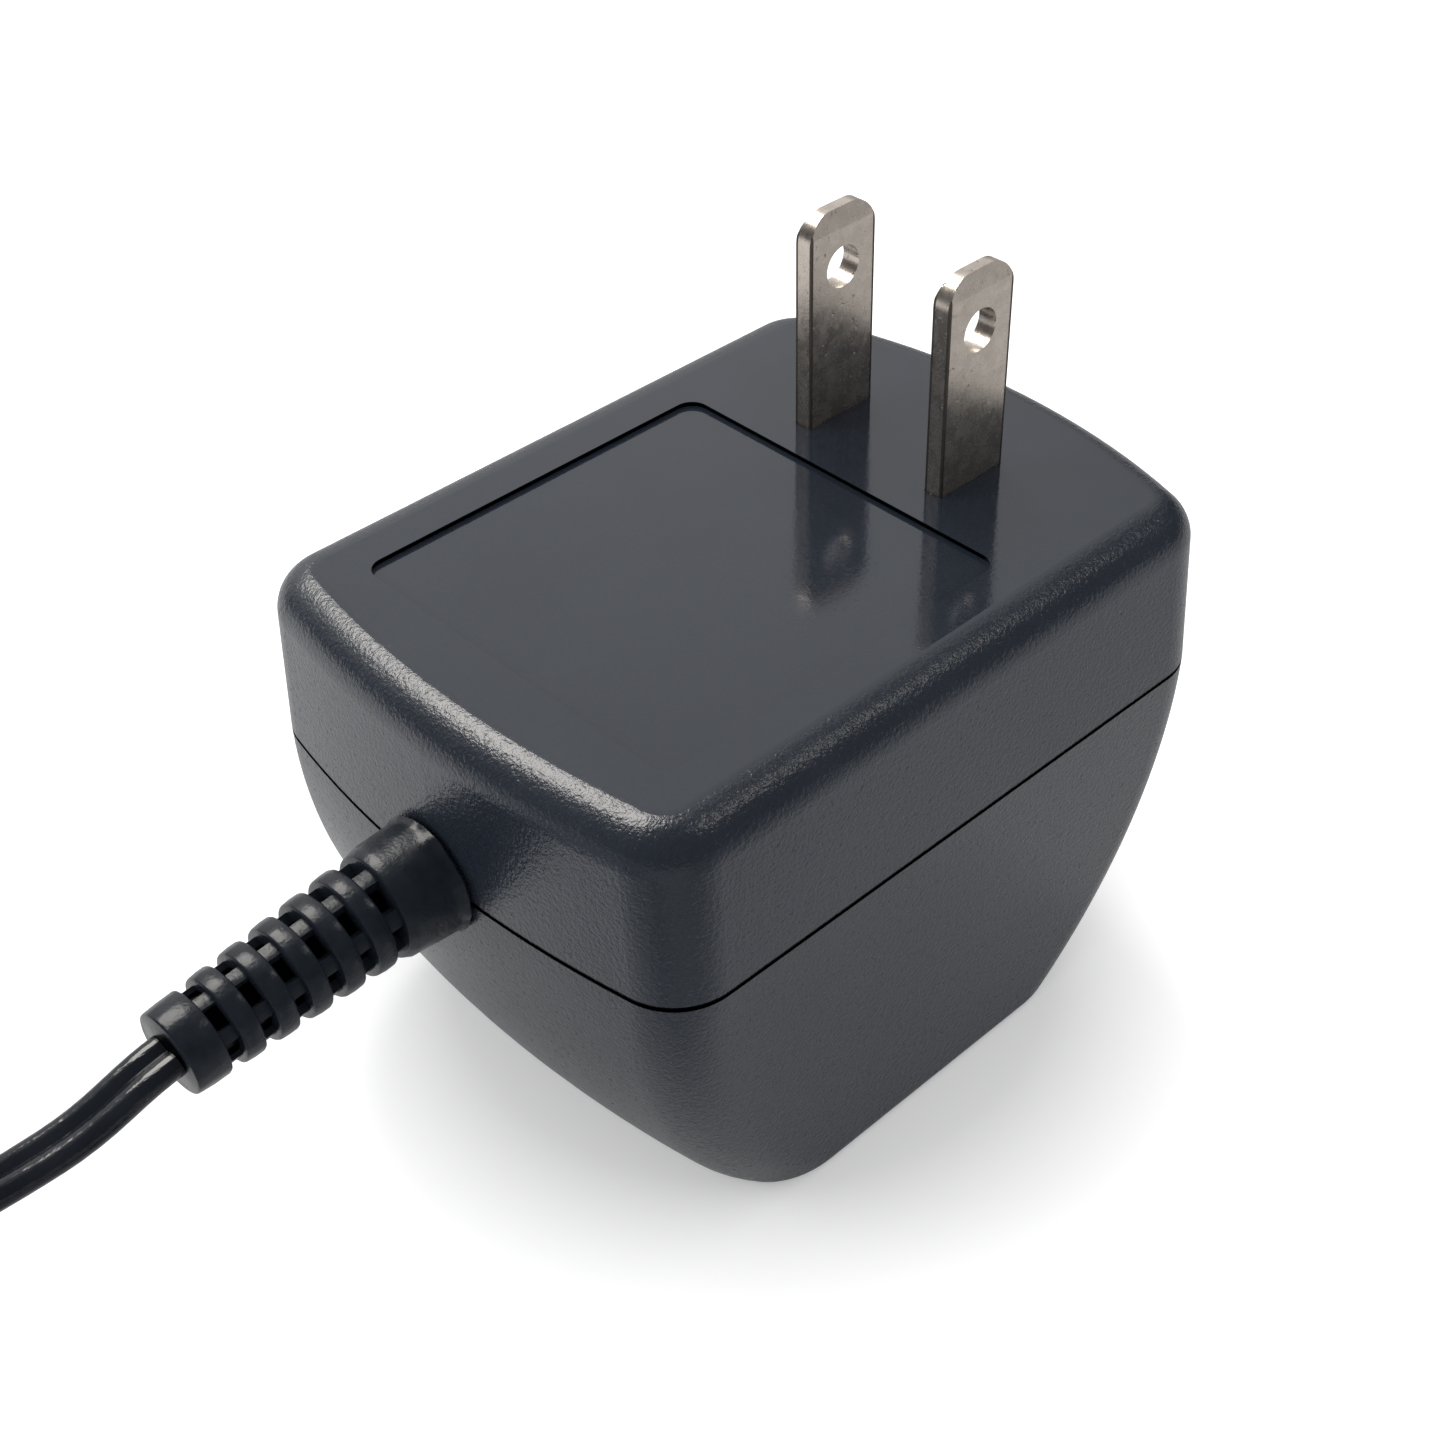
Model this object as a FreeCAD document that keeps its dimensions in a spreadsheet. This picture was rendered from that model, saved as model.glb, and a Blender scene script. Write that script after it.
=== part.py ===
"""Plug-in power adapter: a two-shell case with two flat blades, a transformer inside and a corded barrel plug.

The adapter stands on its back face with the blades up: +Z runs along the blades and -X towards the cord.
The origin is at the bottom centre of the case. Lengths are millimetres.
"""
import FreeCAD, Part
import math
import os
import Sketcher
from FreeCAD import Placement, Rotation, Vector

# Driving dimensions, grouped by the piece that they belong to
SIZES = {
    "case": {
        "half_length": 28.94,
        "half_width": 21.43,
        "seam_height": 27.67,
        "cover_height": 13.03,
        "near_bow_radius": 91.0,
        "far_bow_radius": 55.2,
        "corner_radius": 4.75,
        "cover_end_draft": 0.42,
        "cover_side_draft": 0.77,
        "foot_end_inset": 10.47,
        "foot_side_inset": 1.59,
        "end_curve_radius": 38.0,
        "foot_edge_radius": 1.05,
        "cover_edge_radius": 3.1,
        "case_wall": 2.0,
        "seam_gap": 0.3,
        "lap_height": 1.6,
        "lap_wall": 0.9,
        "lap_clearance": 0.05,
    },
    "recess": {
        "recess_near_margin": 7.54,
        "recess_from_blades": 6.17,
        "recess_side_margin": 6.43,
        "recess_depth": 0.4,
        "recess_corner_radius": 1.4,
    },
    "blades": {
        "blade_from_centre": 15.17,
        "blade_spacing": 12.7,
        "blade_width": 6.35,
        "blade_thickness": 1.5,
        "blade_length": 16.5,
        "blade_tip_radius": 2.1,
        "blade_bevel": 0.3,
        "blade_bevel_length": 1.5,
        "blade_hole_diameter": 3.2,
        "blade_hole_height": 12.0,
        "blade_slot_clearance": 0.05,
        "shoulder_width": 9.0,
        "shoulder_height": 1.5,
        "blade_tail_width": 4.6,
        "blade_tail_length": 5.5,
        "boss_depth": 2.0,
        "boss_margin": 2.0,
    },
    "strain relief": {
        "collar_base_diameter": 8.3,
        "collar_front_diameter": 7.9,
        "collar_length": 4.7,
        "collar_edge_radius": 0.35,
        "bead_diameter": 9.0,
        "bead_thickness": 0.5,
        "neck_diameter": 6.0,
        "neck_clearance": 0.05,
        "anchor_diameter": 10.0,
        "anchor_thickness": 1.6,
        "anchor_clearance": 0.45,
        "flex_root_diameter": 7.55,
        "flex_tip_diameter": 5.95,
        "flex_bend": 4.15,
        "flex_pitch": 2.5,
        "ring_width": 1.45,
        "cuff_length": 2.3,
        "web_depth": 0.45,
        "relief_core_diameter": 4.2,
        "window_width": 38.0,
        "window_roll": 37.0,
    },
    "cord": {
        "cord_width": 3.5,
        "turn_pitch": 1.9,
        "turn_rise": 3.6,
        "turns_across": 5.5,
        "coil_rows": 2.0,
        "coil_middle_radius": 20.0,
        "coil_from_centre": 115.0,
        "coil_from_middle": 13.0,
        "coil_edge_radius": 1.2,
        "coil_end_length": 12.0,
        "cord_straight_length": 1.6,
        "cord_last_run": 6.5,
        "cord_tail_run": 8.0,
    },
    "barrel plug": {
        "grip_diameter": 9.0,
        "grip_nose_diameter": 8.0,
        "grip_length": 18.0,
        "plug_tail_length": 9.0,
        "plug_tail_diameter": 4.6,
        "plug_tail_root_diameter": 6.8,
        "plug_groove_width": 1.0,
        "plug_groove_depth": 0.6,
        "sleeve_diameter": 5.5,
        "sleeve_wall": 0.4,
        "sleeve_reach": 9.5,
        "sleeve_seat": 4.0,
        "sleeve_step": 0.2,
        "contact_bore": 2.1,
        "contact_wall": 0.25,
        "contact_setback": 0.6,
    },
    "transformer": {
        "core_offset": 2.0,
        "core_end_margin": 11.44,
        "window_width_of_core": 7.5,
        "window_length": 19.0,
        "bobbin_wall": 0.85,
        "bobbin_clearance": 0.15,
        "flange_thickness": 1.0,
        "flange_play": 0.2,
        "flange_above_seam": 0.33,
        "flange_over_winding": 0.6,
        "winding_depth": 5.4,
        "winding_corner": 4.0,
        "tape_thickness": 0.3,
        "rib_thickness": 2.0,
        "rib_setback": 4.5,
        "post_length": 3.0,
    },
    "board": {
        "board_near_margin": 12.94,
        "board_far_reach": 7.0,
        "board_half_width": 10.2,
        "board_thickness": 1.6,
        "diode_diameter": 2.7,
        "diode_length": 5.2,
        "diode_lead": 0.8,
        "diode_span": 8.6,
        "diode_pitch": 4.0,
        "first_diode_margin": 6.0,
        "diode_row": -4.9,
        "capacitor_diameter": 6.3,
        "capacitor_length": 11.0,
        "capacitor_row": 6.2,
        "capacitor_margin": 0.6,
        "capacitor_lead": 0.6,
        "capacitor_lead_gap": 2.5,
        "pin_diameter": 0.8,
        "pin_height": 3.2,
        "first_pin_reach": 10.0,
        "pin_spacing": 2.6,
        "fuse_diameter": 3.2,
        "fuse_length": 9.0,
        "fuse_reach": 8.0,
        "wire_diameter": 1.3,
        "conductor_diameter": 1.4,
        "conductor_spacing": 1.8,
    },
}

# Points of the cord's free stretch between its straight exit and its last run to the coil
CORD_ROUTE = [
    (-55.8, -0.1, 24.5),
    (-59.9, 0.9, 23.3),
    (-64.6, 2.9, 21.3),
    (-70.1, 5.6, 18.2),
    (-76.2, 8.5, 13.9),
    (-82.8, 10.6, 9.6),
    (-89.7, 11.8, 6.5),
]
# The strain relief leans down and a little sideways, by turning about this line across its axis
FLEX_HINGE = Vector(0, -0.92, 0.39)
WINDOWS_AROUND = 6
FLEX_RINGS = 5
PLUG_GROOVES = 3
DIODES = 4


class Size:
    """A length or angle that carries its number and the sheet formula that gives it."""

    def __init__(self, number, formula):
        self.number = float(number)
        self.formula = formula

    def __add__(self, other):
        other = as_size(other)
        return Size(self.number + other.number, f"({self.formula} + {other.formula})")

    def __sub__(self, other):
        other = as_size(other)
        return Size(self.number - other.number, f"({self.formula} - {other.formula})")

    def __mul__(self, other):
        other = as_size(other)
        return Size(self.number * other.number, f"({self.formula} * {other.formula})")

    def __truediv__(self, other):
        other = as_size(other)
        return Size(self.number / other.number, f"({self.formula} / {other.formula})")

    def __radd__(self, other):
        return as_size(other) + self

    def __rsub__(self, other):
        return as_size(other) - self

    def __rmul__(self, other):
        return as_size(other) * self

    def __neg__(self):
        return as_size(0) - self


def as_size(value):
    """Turns a plain number into a Size and leaves a Size alone."""
    return value if isinstance(value, Size) else Size(value, f"{float(value)!r}")


def square_root(value):
    return Size(math.sqrt(value.number), f"sqrt({value.formula})")


def slope_angle(rise, run):
    """The angle in degrees of a slope that rises by one length over another."""
    number = math.degrees(math.atan(rise.number / run.number))
    return Size(number, f"(atan({rise.formula} / {run.formula}) / 1deg)")


class Dimensions:
    """The driving dimensions, one attribute for each cell of the sheet."""

    def __init__(self, sheet):
        row = 1
        for group, sizes in SIZES.items():
            sheet.set(f"A{row}", group)
            row += 1
            for name, number in sizes.items():
                sheet.set(f"A{row}", name)
                sheet.set(f"B{row}", str(number))
                sheet.setAlias(f"B{row}", name)
                setattr(self, name, Size(number, f"sizes.{name}"))
                row += 1


doc = FreeCAD.newDocument("power_adapter")
D = Dimensions(doc.addObject("Spreadsheet::Sheet", "sizes"))
doc.recompute()
finished = []

# Heights and places that several pieces share
CASE_TOP = D.seam_height + D.cover_height
COVER_CEILING = CASE_TOP - D.case_wall
BOSS_FACE = COVER_CEILING - D.boss_depth
FLANGE_TOP = D.seam_height + D.flange_above_seam
FLANGE_HEIGHT = FLANGE_TOP - D.case_wall
ROUND_STACK = D.bobbin_wall + D.bobbin_clearance + D.winding_depth + D.flange_over_winding
STACK_HEIGHT = FLANGE_HEIGHT - 2 * ROUND_STACK
STACK_MIDDLE = D.case_wall + FLANGE_HEIGHT / 2
STACK_TOP = STACK_MIDDLE + STACK_HEIGHT / 2
STACK_BOTTOM = STACK_MIDDLE - STACK_HEIGHT / 2
CORE_HALF_WIDTH = D.half_length - D.core_end_margin
CORE_LEG = (CORE_HALF_WIDTH - D.window_width_of_core) / 2
YOKE_MIDDLE = (D.window_length + CORE_LEG) / 2
FUSE_END = D.core_offset + D.fuse_reach
BOARD_TOP = FLANGE_TOP + D.board_thickness
BOARD_NEAR_END = D.board_near_margin - D.half_length
BOARD_FAR_END = D.core_offset + D.board_far_reach
FIRST_PIN = D.core_offset - D.first_pin_reach
FLEX_GAP = D.flex_pitch - D.ring_width
FLEX_LENGTH = FLEX_RINGS * D.flex_pitch + FLEX_GAP + D.cuff_length
COIL_OUTER_TURN = D.coil_middle_radius + D.turns_across * D.turn_pitch / 2
TOP_ROW_HEIGHT = (D.coil_rows - 0.5) * D.turn_rise
BOTTOM_ROW_HEIGHT = D.turn_rise / 2
COIL_END = D.coil_end_length - D.coil_from_centre
TAIL_END = COIL_END + 3 * D.cord_tail_run


def bind(item, name, value):
    """Sets a property from the sheet."""
    item.setExpression(name, as_size(value).formula)


def finish(item, label):
    """Names a finished sub-part after the file that it is written to."""
    item.Label = label
    finished.append(item)
    return item


def new_body(name, place=(0, 0, 0)):
    body = doc.addObject("PartDesign::Body", name)
    for axis, distance in zip("xyz", place):
        bind(body, f".Placement.Base.{axis}", distance)
    return body


def origin_feature(body, role):
    return next(item for item in body.Origin.OriginFeatures if item.Role == role)


def new_sketch(body, name, role, offset=(0, 0, 0), roll=None):
    """Starts a sketch on a plane of the body; roll turns it about the sketch's own X axis."""
    sketch = body.newObject("Sketcher::SketchObject", name)
    sketch.AttachmentSupport = (origin_feature(body, role), [""])
    sketch.MapMode = "FlatFace"
    if roll is not None:
        sketch.AttachmentOffset = Placement(Vector(), Rotation(Vector(1, 0, 0), roll.number))
        bind(sketch, ".AttachmentOffset.Rotation.Angle", roll)
    for axis, distance in zip("xyz", offset):
        bind(sketch, f".AttachmentOffset.Base.{axis}", distance)
    return sketch


def add_measure(sketch, kind, place, value):
    """Adds one driven constraint to a sketch."""
    value = as_size(value)
    index = sketch.addConstraint(Sketcher.Constraint(kind, *place, value.number))
    bind(sketch, f"Constraints[{index}]", value)


def pin_point(sketch, geometry, vertex, corner):
    """Holds one vertex of a sketch at its two distances from the sketch's origin."""
    for kind, distance in zip(("DistanceX", "DistanceY"), corner):
        add_measure(sketch, kind, (-1, 1, geometry, vertex), distance)


def add_outline(sketch, corners, arcs=None):
    """Draws a closed outline through corners.

    arcs gives the radius of the sides that are arcs, by the number of the corner that each starts from.
    Its sign says on which side of the travel the arc's centre lies: positive on the left.
    """
    arcs = arcs or {}
    first = sketch.GeometryCount
    points = [Vector(as_size(x).number, as_size(y).number, 0) for x, y in corners]
    ends = []
    for number, start in enumerate(points):
        end = points[(number + 1) % len(points)]
        if number not in arcs:
            sketch.addGeometry(Part.LineSegment(start, end), False)
            ends.append((1, 2))
            continue
        radius = abs(arcs[number].number)
        turn = math.copysign(1, arcs[number].number)
        along = (end - start).normalize()
        rise = math.sqrt(radius ** 2 - ((end - start).Length / 2) ** 2)
        centre = (start + end) / 2 + Vector(-along.y, along.x, 0) * rise * turn
        circle = Part.Circle(centre, Vector(0, 0, 1), radius)
        angles = [math.atan2(p.y - centre.y, p.x - centre.x) for p in (start, end)]
        angles = angles if turn > 0 else angles[::-1]
        sketch.addGeometry(Part.ArcOfCircle(circle, *angles), False)
        ends.append((1, 2) if turn > 0 else (2, 1))
    for number, (vertex, last) in enumerate(ends):
        after = (number + 1) % len(points)
        place = (first + number, last, first + after, ends[after][0])
        sketch.addConstraint(Sketcher.Constraint("Coincident", *place))
        pin_point(sketch, first + number, vertex, corners[number])
    for number, radius in arcs.items():
        bulge = radius if radius.number > 0 else -radius
        add_measure(sketch, "Radius", (first + number,), bulge)
    return sketch


def add_rectangle(sketch, left, right, low, high):
    return add_outline(sketch, [(left, low), (right, low), (right, high), (left, high)])


def add_rounded_rectangle(sketch, left, right, low, high, radius):
    corners = [
        (left + radius, low), (right - radius, low), (right, low + radius), (right, high - radius),
        (right - radius, high), (left + radius, high), (left, high - radius), (left, low + radius),
    ]
    return add_outline(sketch, corners, {1: radius, 3: radius, 5: radius, 7: radius})


def add_circle(sketch, across, up, diameter):
    """Draws a circle whose centre and diameter come from the sheet."""
    centre = Vector(as_size(across).number, as_size(up).number, 0)
    circle = Part.Circle(centre, Vector(0, 0, 1), as_size(diameter).number / 2)
    geometry = sketch.addGeometry(circle, False)
    pin_point(sketch, geometry, 3, (across, up))
    add_measure(sketch, "Diameter", (geometry,), diameter)
    return sketch


def add_feature(body, kind, sketch, **settings):
    """Adds a pad, pocket, groove or revolution made from one sketch, and checks that it did something."""
    feature = body.newObject(f"PartDesign::{kind}", f"{sketch.Name}_{kind.lower()}")
    feature.Profile = sketch
    for key, value in settings.items():
        if isinstance(value, Size):
            bind(feature, key, value)
        else:
            setattr(feature, key, value)
    before = feature.BaseFeature.Shape.Volume if feature.BaseFeature else 0.0
    doc.recompute()
    change = feature.Shape.Volume - before
    if kind in ("Pocket", "Groove"):
        change = -change
    if change < 1e-6:
        raise RuntimeError(f"{body.Name}: {feature.Name} changed nothing, or the wrong way")
    return feature


def pad(body, sketch, length, **settings):
    return add_feature(body, "Pad", sketch, Length=length, **settings)


def pocket(body, sketch, length, **settings):
    return add_feature(body, "Pocket", sketch, Length=length, **settings)


def turn(body, kind, sketch, axis="H_Axis", **settings):
    """Adds a revolution or groove about an axis of the sketch."""
    return add_feature(body, kind, sketch, ReferenceAxis=(sketch, [axis]), **settings)


def round_edges(body, name, radius, chosen):
    """Fillets the edges of the body's newest shape that a test picks."""
    base = body.Tip
    edges = [f"Edge{n}" for n, edge in enumerate(base.Shape.Edges, 1) if chosen(edge)]
    if not edges:
        raise RuntimeError(f"{body.Name}: {name} finds no edge")
    fillet = body.newObject("PartDesign::Fillet", name)
    fillet.Base = (base, edges)
    bind(fillet, "Radius", radius)
    doc.recompute()
    return fillet


def heights(edge):
    """The lowest and highest height of an edge."""
    return edge.BoundBox.ZMin, edge.BoundBox.ZMax


def lies_at(height):
    """A test for edges that lie at one height."""
    return lambda edge: max(abs(z - height.number) for z in heights(edge)) < 1e-3


def is_upright(edge):
    low, high = heights(edge)
    return high - low > D.cover_height.number / 2


def bow_end(body, name, side, low, high):
    """Turns one end of a case half to its bowed form about that end's upright axis.

    side is 1 for the blade end and -1 for the cord end. low and high each give a height and how far the
    end stands there from the bow's own radius; high may also name the radius of the curve between them.
    """
    radius = D.far_bow_radius if side > 0 else D.near_bow_radius
    sketch = new_sketch(body, name, "XZ_Plane", (side * (D.half_length - radius), 0, 0))
    outside = side * (radius + 3 * D.corner_radius)
    corners = [
        (side * (radius + low[1]), low[0]),
        (side * (radius + high[1]), high[0]),
        (outside, high[0]),
        (outside, low[0]),
    ]
    arcs = {0: side * high[2]} if len(high) > 2 else None
    return turn(body, "Groove", add_outline(sketch, corners, arcs), "V_Axis", Angle=360.0)


def end_curve_at(height, wall):
    """A height and how far in the deep case's curved end stands there, measured to a wall's inner face."""
    inset = D.foot_end_inset
    chord = square_root(inset * inset + D.seam_height * D.seam_height)
    rise = square_root(D.end_curve_radius * D.end_curve_radius - chord * chord / 4)
    centre_in = inset / 2 + rise * D.seam_height / chord
    centre_up = D.seam_height / 2 + rise * inset / chord
    radius = D.end_curve_radius - wall
    drop = height - centre_up
    return height, square_root(radius * radius - drop * drop) - centre_in, radius


def plan_outline(sketch, inset):
    """Draws the case's outline at the seam, moved inwards: two bowed ends, two sides and four round corners."""
    side_line = D.half_width - inset
    corner = D.corner_radius - inset
    points = {}
    for side, radius in ((1, D.far_bow_radius), (-1, D.near_bow_radius)):
        centre = D.half_length - radius
        reach = radius - D.corner_radius
        rise = D.half_width - D.corner_radius
        run = square_root(reach * reach - rise * rise)
        share = (radius - inset) / reach
        points[side] = (side * (centre + run), side * (centre + run * share), rise * share)
    (far_side, far_end, far_rise), (near_side, near_end, near_rise) = points[1], points[-1]
    corners = [
        (far_end, -far_rise), (far_end, far_rise), (far_side, side_line), (near_side, side_line),
        (near_end, near_rise), (near_end, -near_rise), (near_side, -side_line), (far_side, -side_line),
    ]
    arcs = {0: D.far_bow_radius - inset, 4: D.near_bow_radius - inset}
    arcs.update({number: corner for number in (1, 3, 5, 7)})
    return add_outline(sketch, corners, arcs)


def case_blank(body, start, length, wall, draft_angle, downwards):
    """Pads the drafted block that a case half, or the space inside its wall, is cut from."""
    sketch = new_sketch(body, f"{body.Name}_blank", "XY_Plane", (0, 0, start))
    reach = D.half_length + D.corner_radius
    add_rectangle(sketch, -reach, reach, wall - D.half_width, D.half_width - wall)
    return pad(body, sketch, length, TaperAngle=-draft_angle, Reversed=downwards)


def hollow_out(body, open_height):
    """Shells a case half to its wall, open at the seam."""
    base = body.Tip
    faces = [
        f"Face{n}"
        for n, face in enumerate(base.Shape.Faces, 1)
        if abs(face.BoundBox.ZMin - open_height.number) < 1e-3 and face.BoundBox.ZLength < 1e-3
    ]
    shell = body.newObject("PartDesign::Thickness", f"{body.Name}_wall")
    shell.Base = (base, faces)
    shell.Reversed = True
    bind(shell, "Value", D.case_wall)
    doc.recompute()
    if shell.Shape.Volume > 0.6 * base.Shape.Volume:
        raise RuntimeError(f"{body.Name} isn't hollow")
    return shell


def cut_neck_hole(body):
    """Cuts the round opening in the cord end's wall, half of it in each case half."""
    start = D.half_length + D.case_wall
    sketch = new_sketch(body, f"{body.Name}_neck", "YZ_Plane", (0, 0, -start))
    add_circle(sketch, 0, D.seam_height, D.neck_diameter + 2 * D.neck_clearance)
    return pocket(body, sketch, 3 * D.case_wall, Reversed=True)


def make_blade_cover():
    """The shallow shell that faces the wall: label recess, blade slots, boss and hold-down posts."""
    body = new_body("blade_cover")
    none = as_size(0)
    draft_angle = slope_angle(D.cover_side_draft, D.cover_height)
    case_blank(body, D.seam_height, D.cover_height, none, draft_angle, False)
    bow_end(body, "cover_far_end", 1, (D.seam_height, none), (CASE_TOP, -D.cover_end_draft))
    bow_end(body, "cover_near_end", -1, (D.seam_height, none), (CASE_TOP, -D.cover_end_draft))
    round_edges(body, "cover_corners", D.corner_radius, is_upright)
    hollow_out(body, D.seam_height)
    round_edges(body, "cover_edge", D.cover_edge_radius, lies_at(CASE_TOP))

    lap = new_sketch(body, "cover_lap", "XY_Plane", (0, 0, D.seam_height))
    plan_outline(lap, D.case_wall - D.lap_wall - D.lap_clearance)
    pocket(body, lap, D.lap_height, Reversed=True)

    recess = new_sketch(body, "label_recess", "XY_Plane", (0, 0, CASE_TOP))
    near = D.recess_near_margin - D.half_length
    far = D.blade_from_centre - D.recess_from_blades
    half = D.half_width - D.recess_side_margin
    add_rounded_rectangle(recess, near, far, -half, half, D.recess_corner_radius)
    pocket(body, recess, D.recess_depth)

    boss = new_sketch(body, "blade_boss", "XY_Plane", (0, 0, BOSS_FACE))
    reach = D.blade_width / 2 + D.boss_margin
    half = (D.blade_spacing + D.blade_thickness) / 2 + D.boss_margin
    add_rectangle(boss, D.blade_from_centre - reach, D.blade_from_centre + reach, -half, half)
    pad(body, boss, D.boss_depth + D.case_wall / 2)

    posts = new_sketch(body, "hold_down_posts", "XY_Plane", (0, 0, STACK_TOP))
    for end in (-1, 1):
        outer = D.core_offset + end * CORE_HALF_WIDTH
        inner = outer - end * D.post_length
        left, right = (outer, inner) if end < 0 else (inner, outer)
        for side in (-1, 1):
            low = side * YOKE_MIDDLE - D.rib_thickness / 2
            add_rectangle(posts, left, right, low, low + D.rib_thickness)
    pad(body, posts, COVER_CEILING + D.case_wall / 2 - STACK_TOP)

    slots = new_sketch(body, "blade_slots", "XY_Plane", (0, 0, CASE_TOP))
    reach = D.blade_width / 2 + D.blade_slot_clearance
    half = D.blade_thickness / 2 + D.blade_slot_clearance
    for side in (-1, 1):
        middle = side * D.blade_spacing / 2
        left = D.blade_from_centre - reach
        add_rectangle(slots, left, left + 2 * reach, middle - half, middle + half)
    pocket(body, slots, 2 * (CASE_TOP - BOSS_FACE))
    cut_neck_hole(body)
    return finish(body, "blade_cover")


def deep_case_form(name, floor, wall):
    """The deep case's drafted and bowed form, or the space inside its wall, above a floor."""
    body = new_body(name)
    rim = D.seam_height - D.seam_gap
    draft_angle = slope_angle(D.foot_side_inset, D.seam_height)
    case_blank(body, rim, rim - floor, wall, draft_angle, True)
    low = end_curve_at(floor, wall)
    high = end_curve_at(D.seam_height, wall)
    bow_end(body, f"{name}_far_end", 1, low, high)
    bow_end(body, f"{name}_near_end", -1, low, high)
    round_edges(body, f"{name}_corners", D.corner_radius - wall, is_upright)
    return body


def make_deep_case():
    """The deep shell: ends that curve in to the back face, a lap at the seam and two ribs under the core."""
    rim = D.seam_height - D.seam_gap
    none = as_size(0)
    body = deep_case_form("deep_case", none, none)
    round_edges(body, "foot_edge", D.foot_edge_radius, lies_at(none))
    space = deep_case_form("case_space", D.case_wall, D.case_wall)
    hollow = body.newObject("PartDesign::Boolean", "case_hollow")
    hollow.setObjects([space])
    hollow.Type = "Cut"
    doc.recompute()

    lap = new_sketch(body, "case_lap", "XY_Plane", (0, 0, rim - D.case_wall / 2))
    plan_outline(lap, D.case_wall - D.lap_wall)
    plan_outline(lap, D.case_wall)
    pad(body, lap, D.seam_gap + D.case_wall / 2 + D.lap_height)

    ribs = new_sketch(body, "core_ribs", "XY_Plane", (0, 0, D.case_wall / 2))
    reach = CORE_HALF_WIDTH - D.rib_setback
    for side in (-1, 1):
        low = side * YOKE_MIDDLE - D.rib_thickness / 2
        add_rectangle(ribs, D.core_offset - reach, D.core_offset + reach, low, low + D.rib_thickness)
    pad(body, ribs, STACK_BOTTOM - D.case_wall / 2)
    cut_neck_hole(body)
    return finish(body, "deep_case")


def make_blade(name, side):
    """One flat blade, stamped from strip: rounded and bevelled tip, lockout hole, shoulder and soldering tail."""
    place = (D.blade_from_centre, side * D.blade_spacing / 2, CASE_TOP)
    body = new_body(name, place)
    half = D.blade_width / 2
    tip = D.blade_length
    shoulder = BOSS_FACE - CASE_TOP
    tail = shoulder - D.shoulder_height
    foot = tail - D.blade_tail_length
    corners = [
        (-D.blade_tail_width / 2, foot), (D.blade_tail_width / 2, foot),
        (D.blade_tail_width / 2, tail), (D.shoulder_width / 2, tail),
        (D.shoulder_width / 2, shoulder), (half, shoulder),
        (half, tip - D.blade_tip_radius), (half - D.blade_tip_radius, tip),
        (D.blade_tip_radius - half, tip), (-half, tip - D.blade_tip_radius),
        (-half, shoulder), (-D.shoulder_width / 2, shoulder),
        (-D.shoulder_width / 2, tail), (-D.blade_tail_width / 2, tail),
    ]
    strip = new_sketch(body, f"{name}_strip", "XZ_Plane")
    add_outline(strip, corners, {6: D.blade_tip_radius, 8: D.blade_tip_radius})
    add_circle(strip, 0, D.blade_hole_height, D.blade_hole_diameter)
    pad(body, strip, D.blade_thickness, Midplane=True)

    bevel = new_sketch(body, f"{name}_bevel", "YZ_Plane")
    face = D.blade_thickness / 2
    for hand in (-1, 1):
        corners = [
            (hand * face, tip - D.blade_bevel_length),
            (hand * (face + D.blade_bevel), tip + D.blade_bevel),
            (hand * (face - D.blade_bevel), tip + D.blade_bevel),
            (hand * (face - D.blade_bevel), tip),
        ]
        add_outline(bevel, corners)
    pocket(body, bevel, 2 * D.blade_width, Midplane=True)
    return finish(body, name)


def make_relief_collar():
    """The fixed part of the strain relief: bead and collar outside the wall, neck through it, anchor inside."""
    body = new_body("relief_collar", (-D.half_length, 0, D.seam_height))
    neck = D.case_wall + D.anchor_clearance
    anchor = neck + D.anchor_thickness
    front = -D.collar_length
    profile = new_sketch(body, "collar_profile", "XZ_Plane")
    corners = [
        (front, 0), (anchor, 0), (anchor, D.anchor_diameter / 2), (neck, D.anchor_diameter / 2),
        (neck, D.neck_diameter / 2), (0, D.neck_diameter / 2), (0, D.bead_diameter / 2),
        (-D.bead_thickness, D.bead_diameter / 2), (-D.bead_thickness, D.collar_base_diameter / 2),
        (front, D.collar_front_diameter / 2),
    ]
    turn(body, "Revolution", add_outline(profile, corners), Angle=360.0)
    rim = D.collar_front_diameter.number / 2

    def at_front(edge):
        circle = edge.Curve
        return circle.TypeId == "Part::GeomCircle" and abs(circle.Radius - rim) < 1e-3

    round_edges(body, "collar_edge", D.collar_edge_radius, at_front)
    return body


def flex_radius(distance):
    """The outer radius of the flex section at a distance from the collar: a straight taper."""
    fall = (D.flex_root_diameter - D.flex_tip_diameter) / 2
    return D.flex_root_diameter / 2 - fall * distance / FLEX_LENGTH


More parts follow.
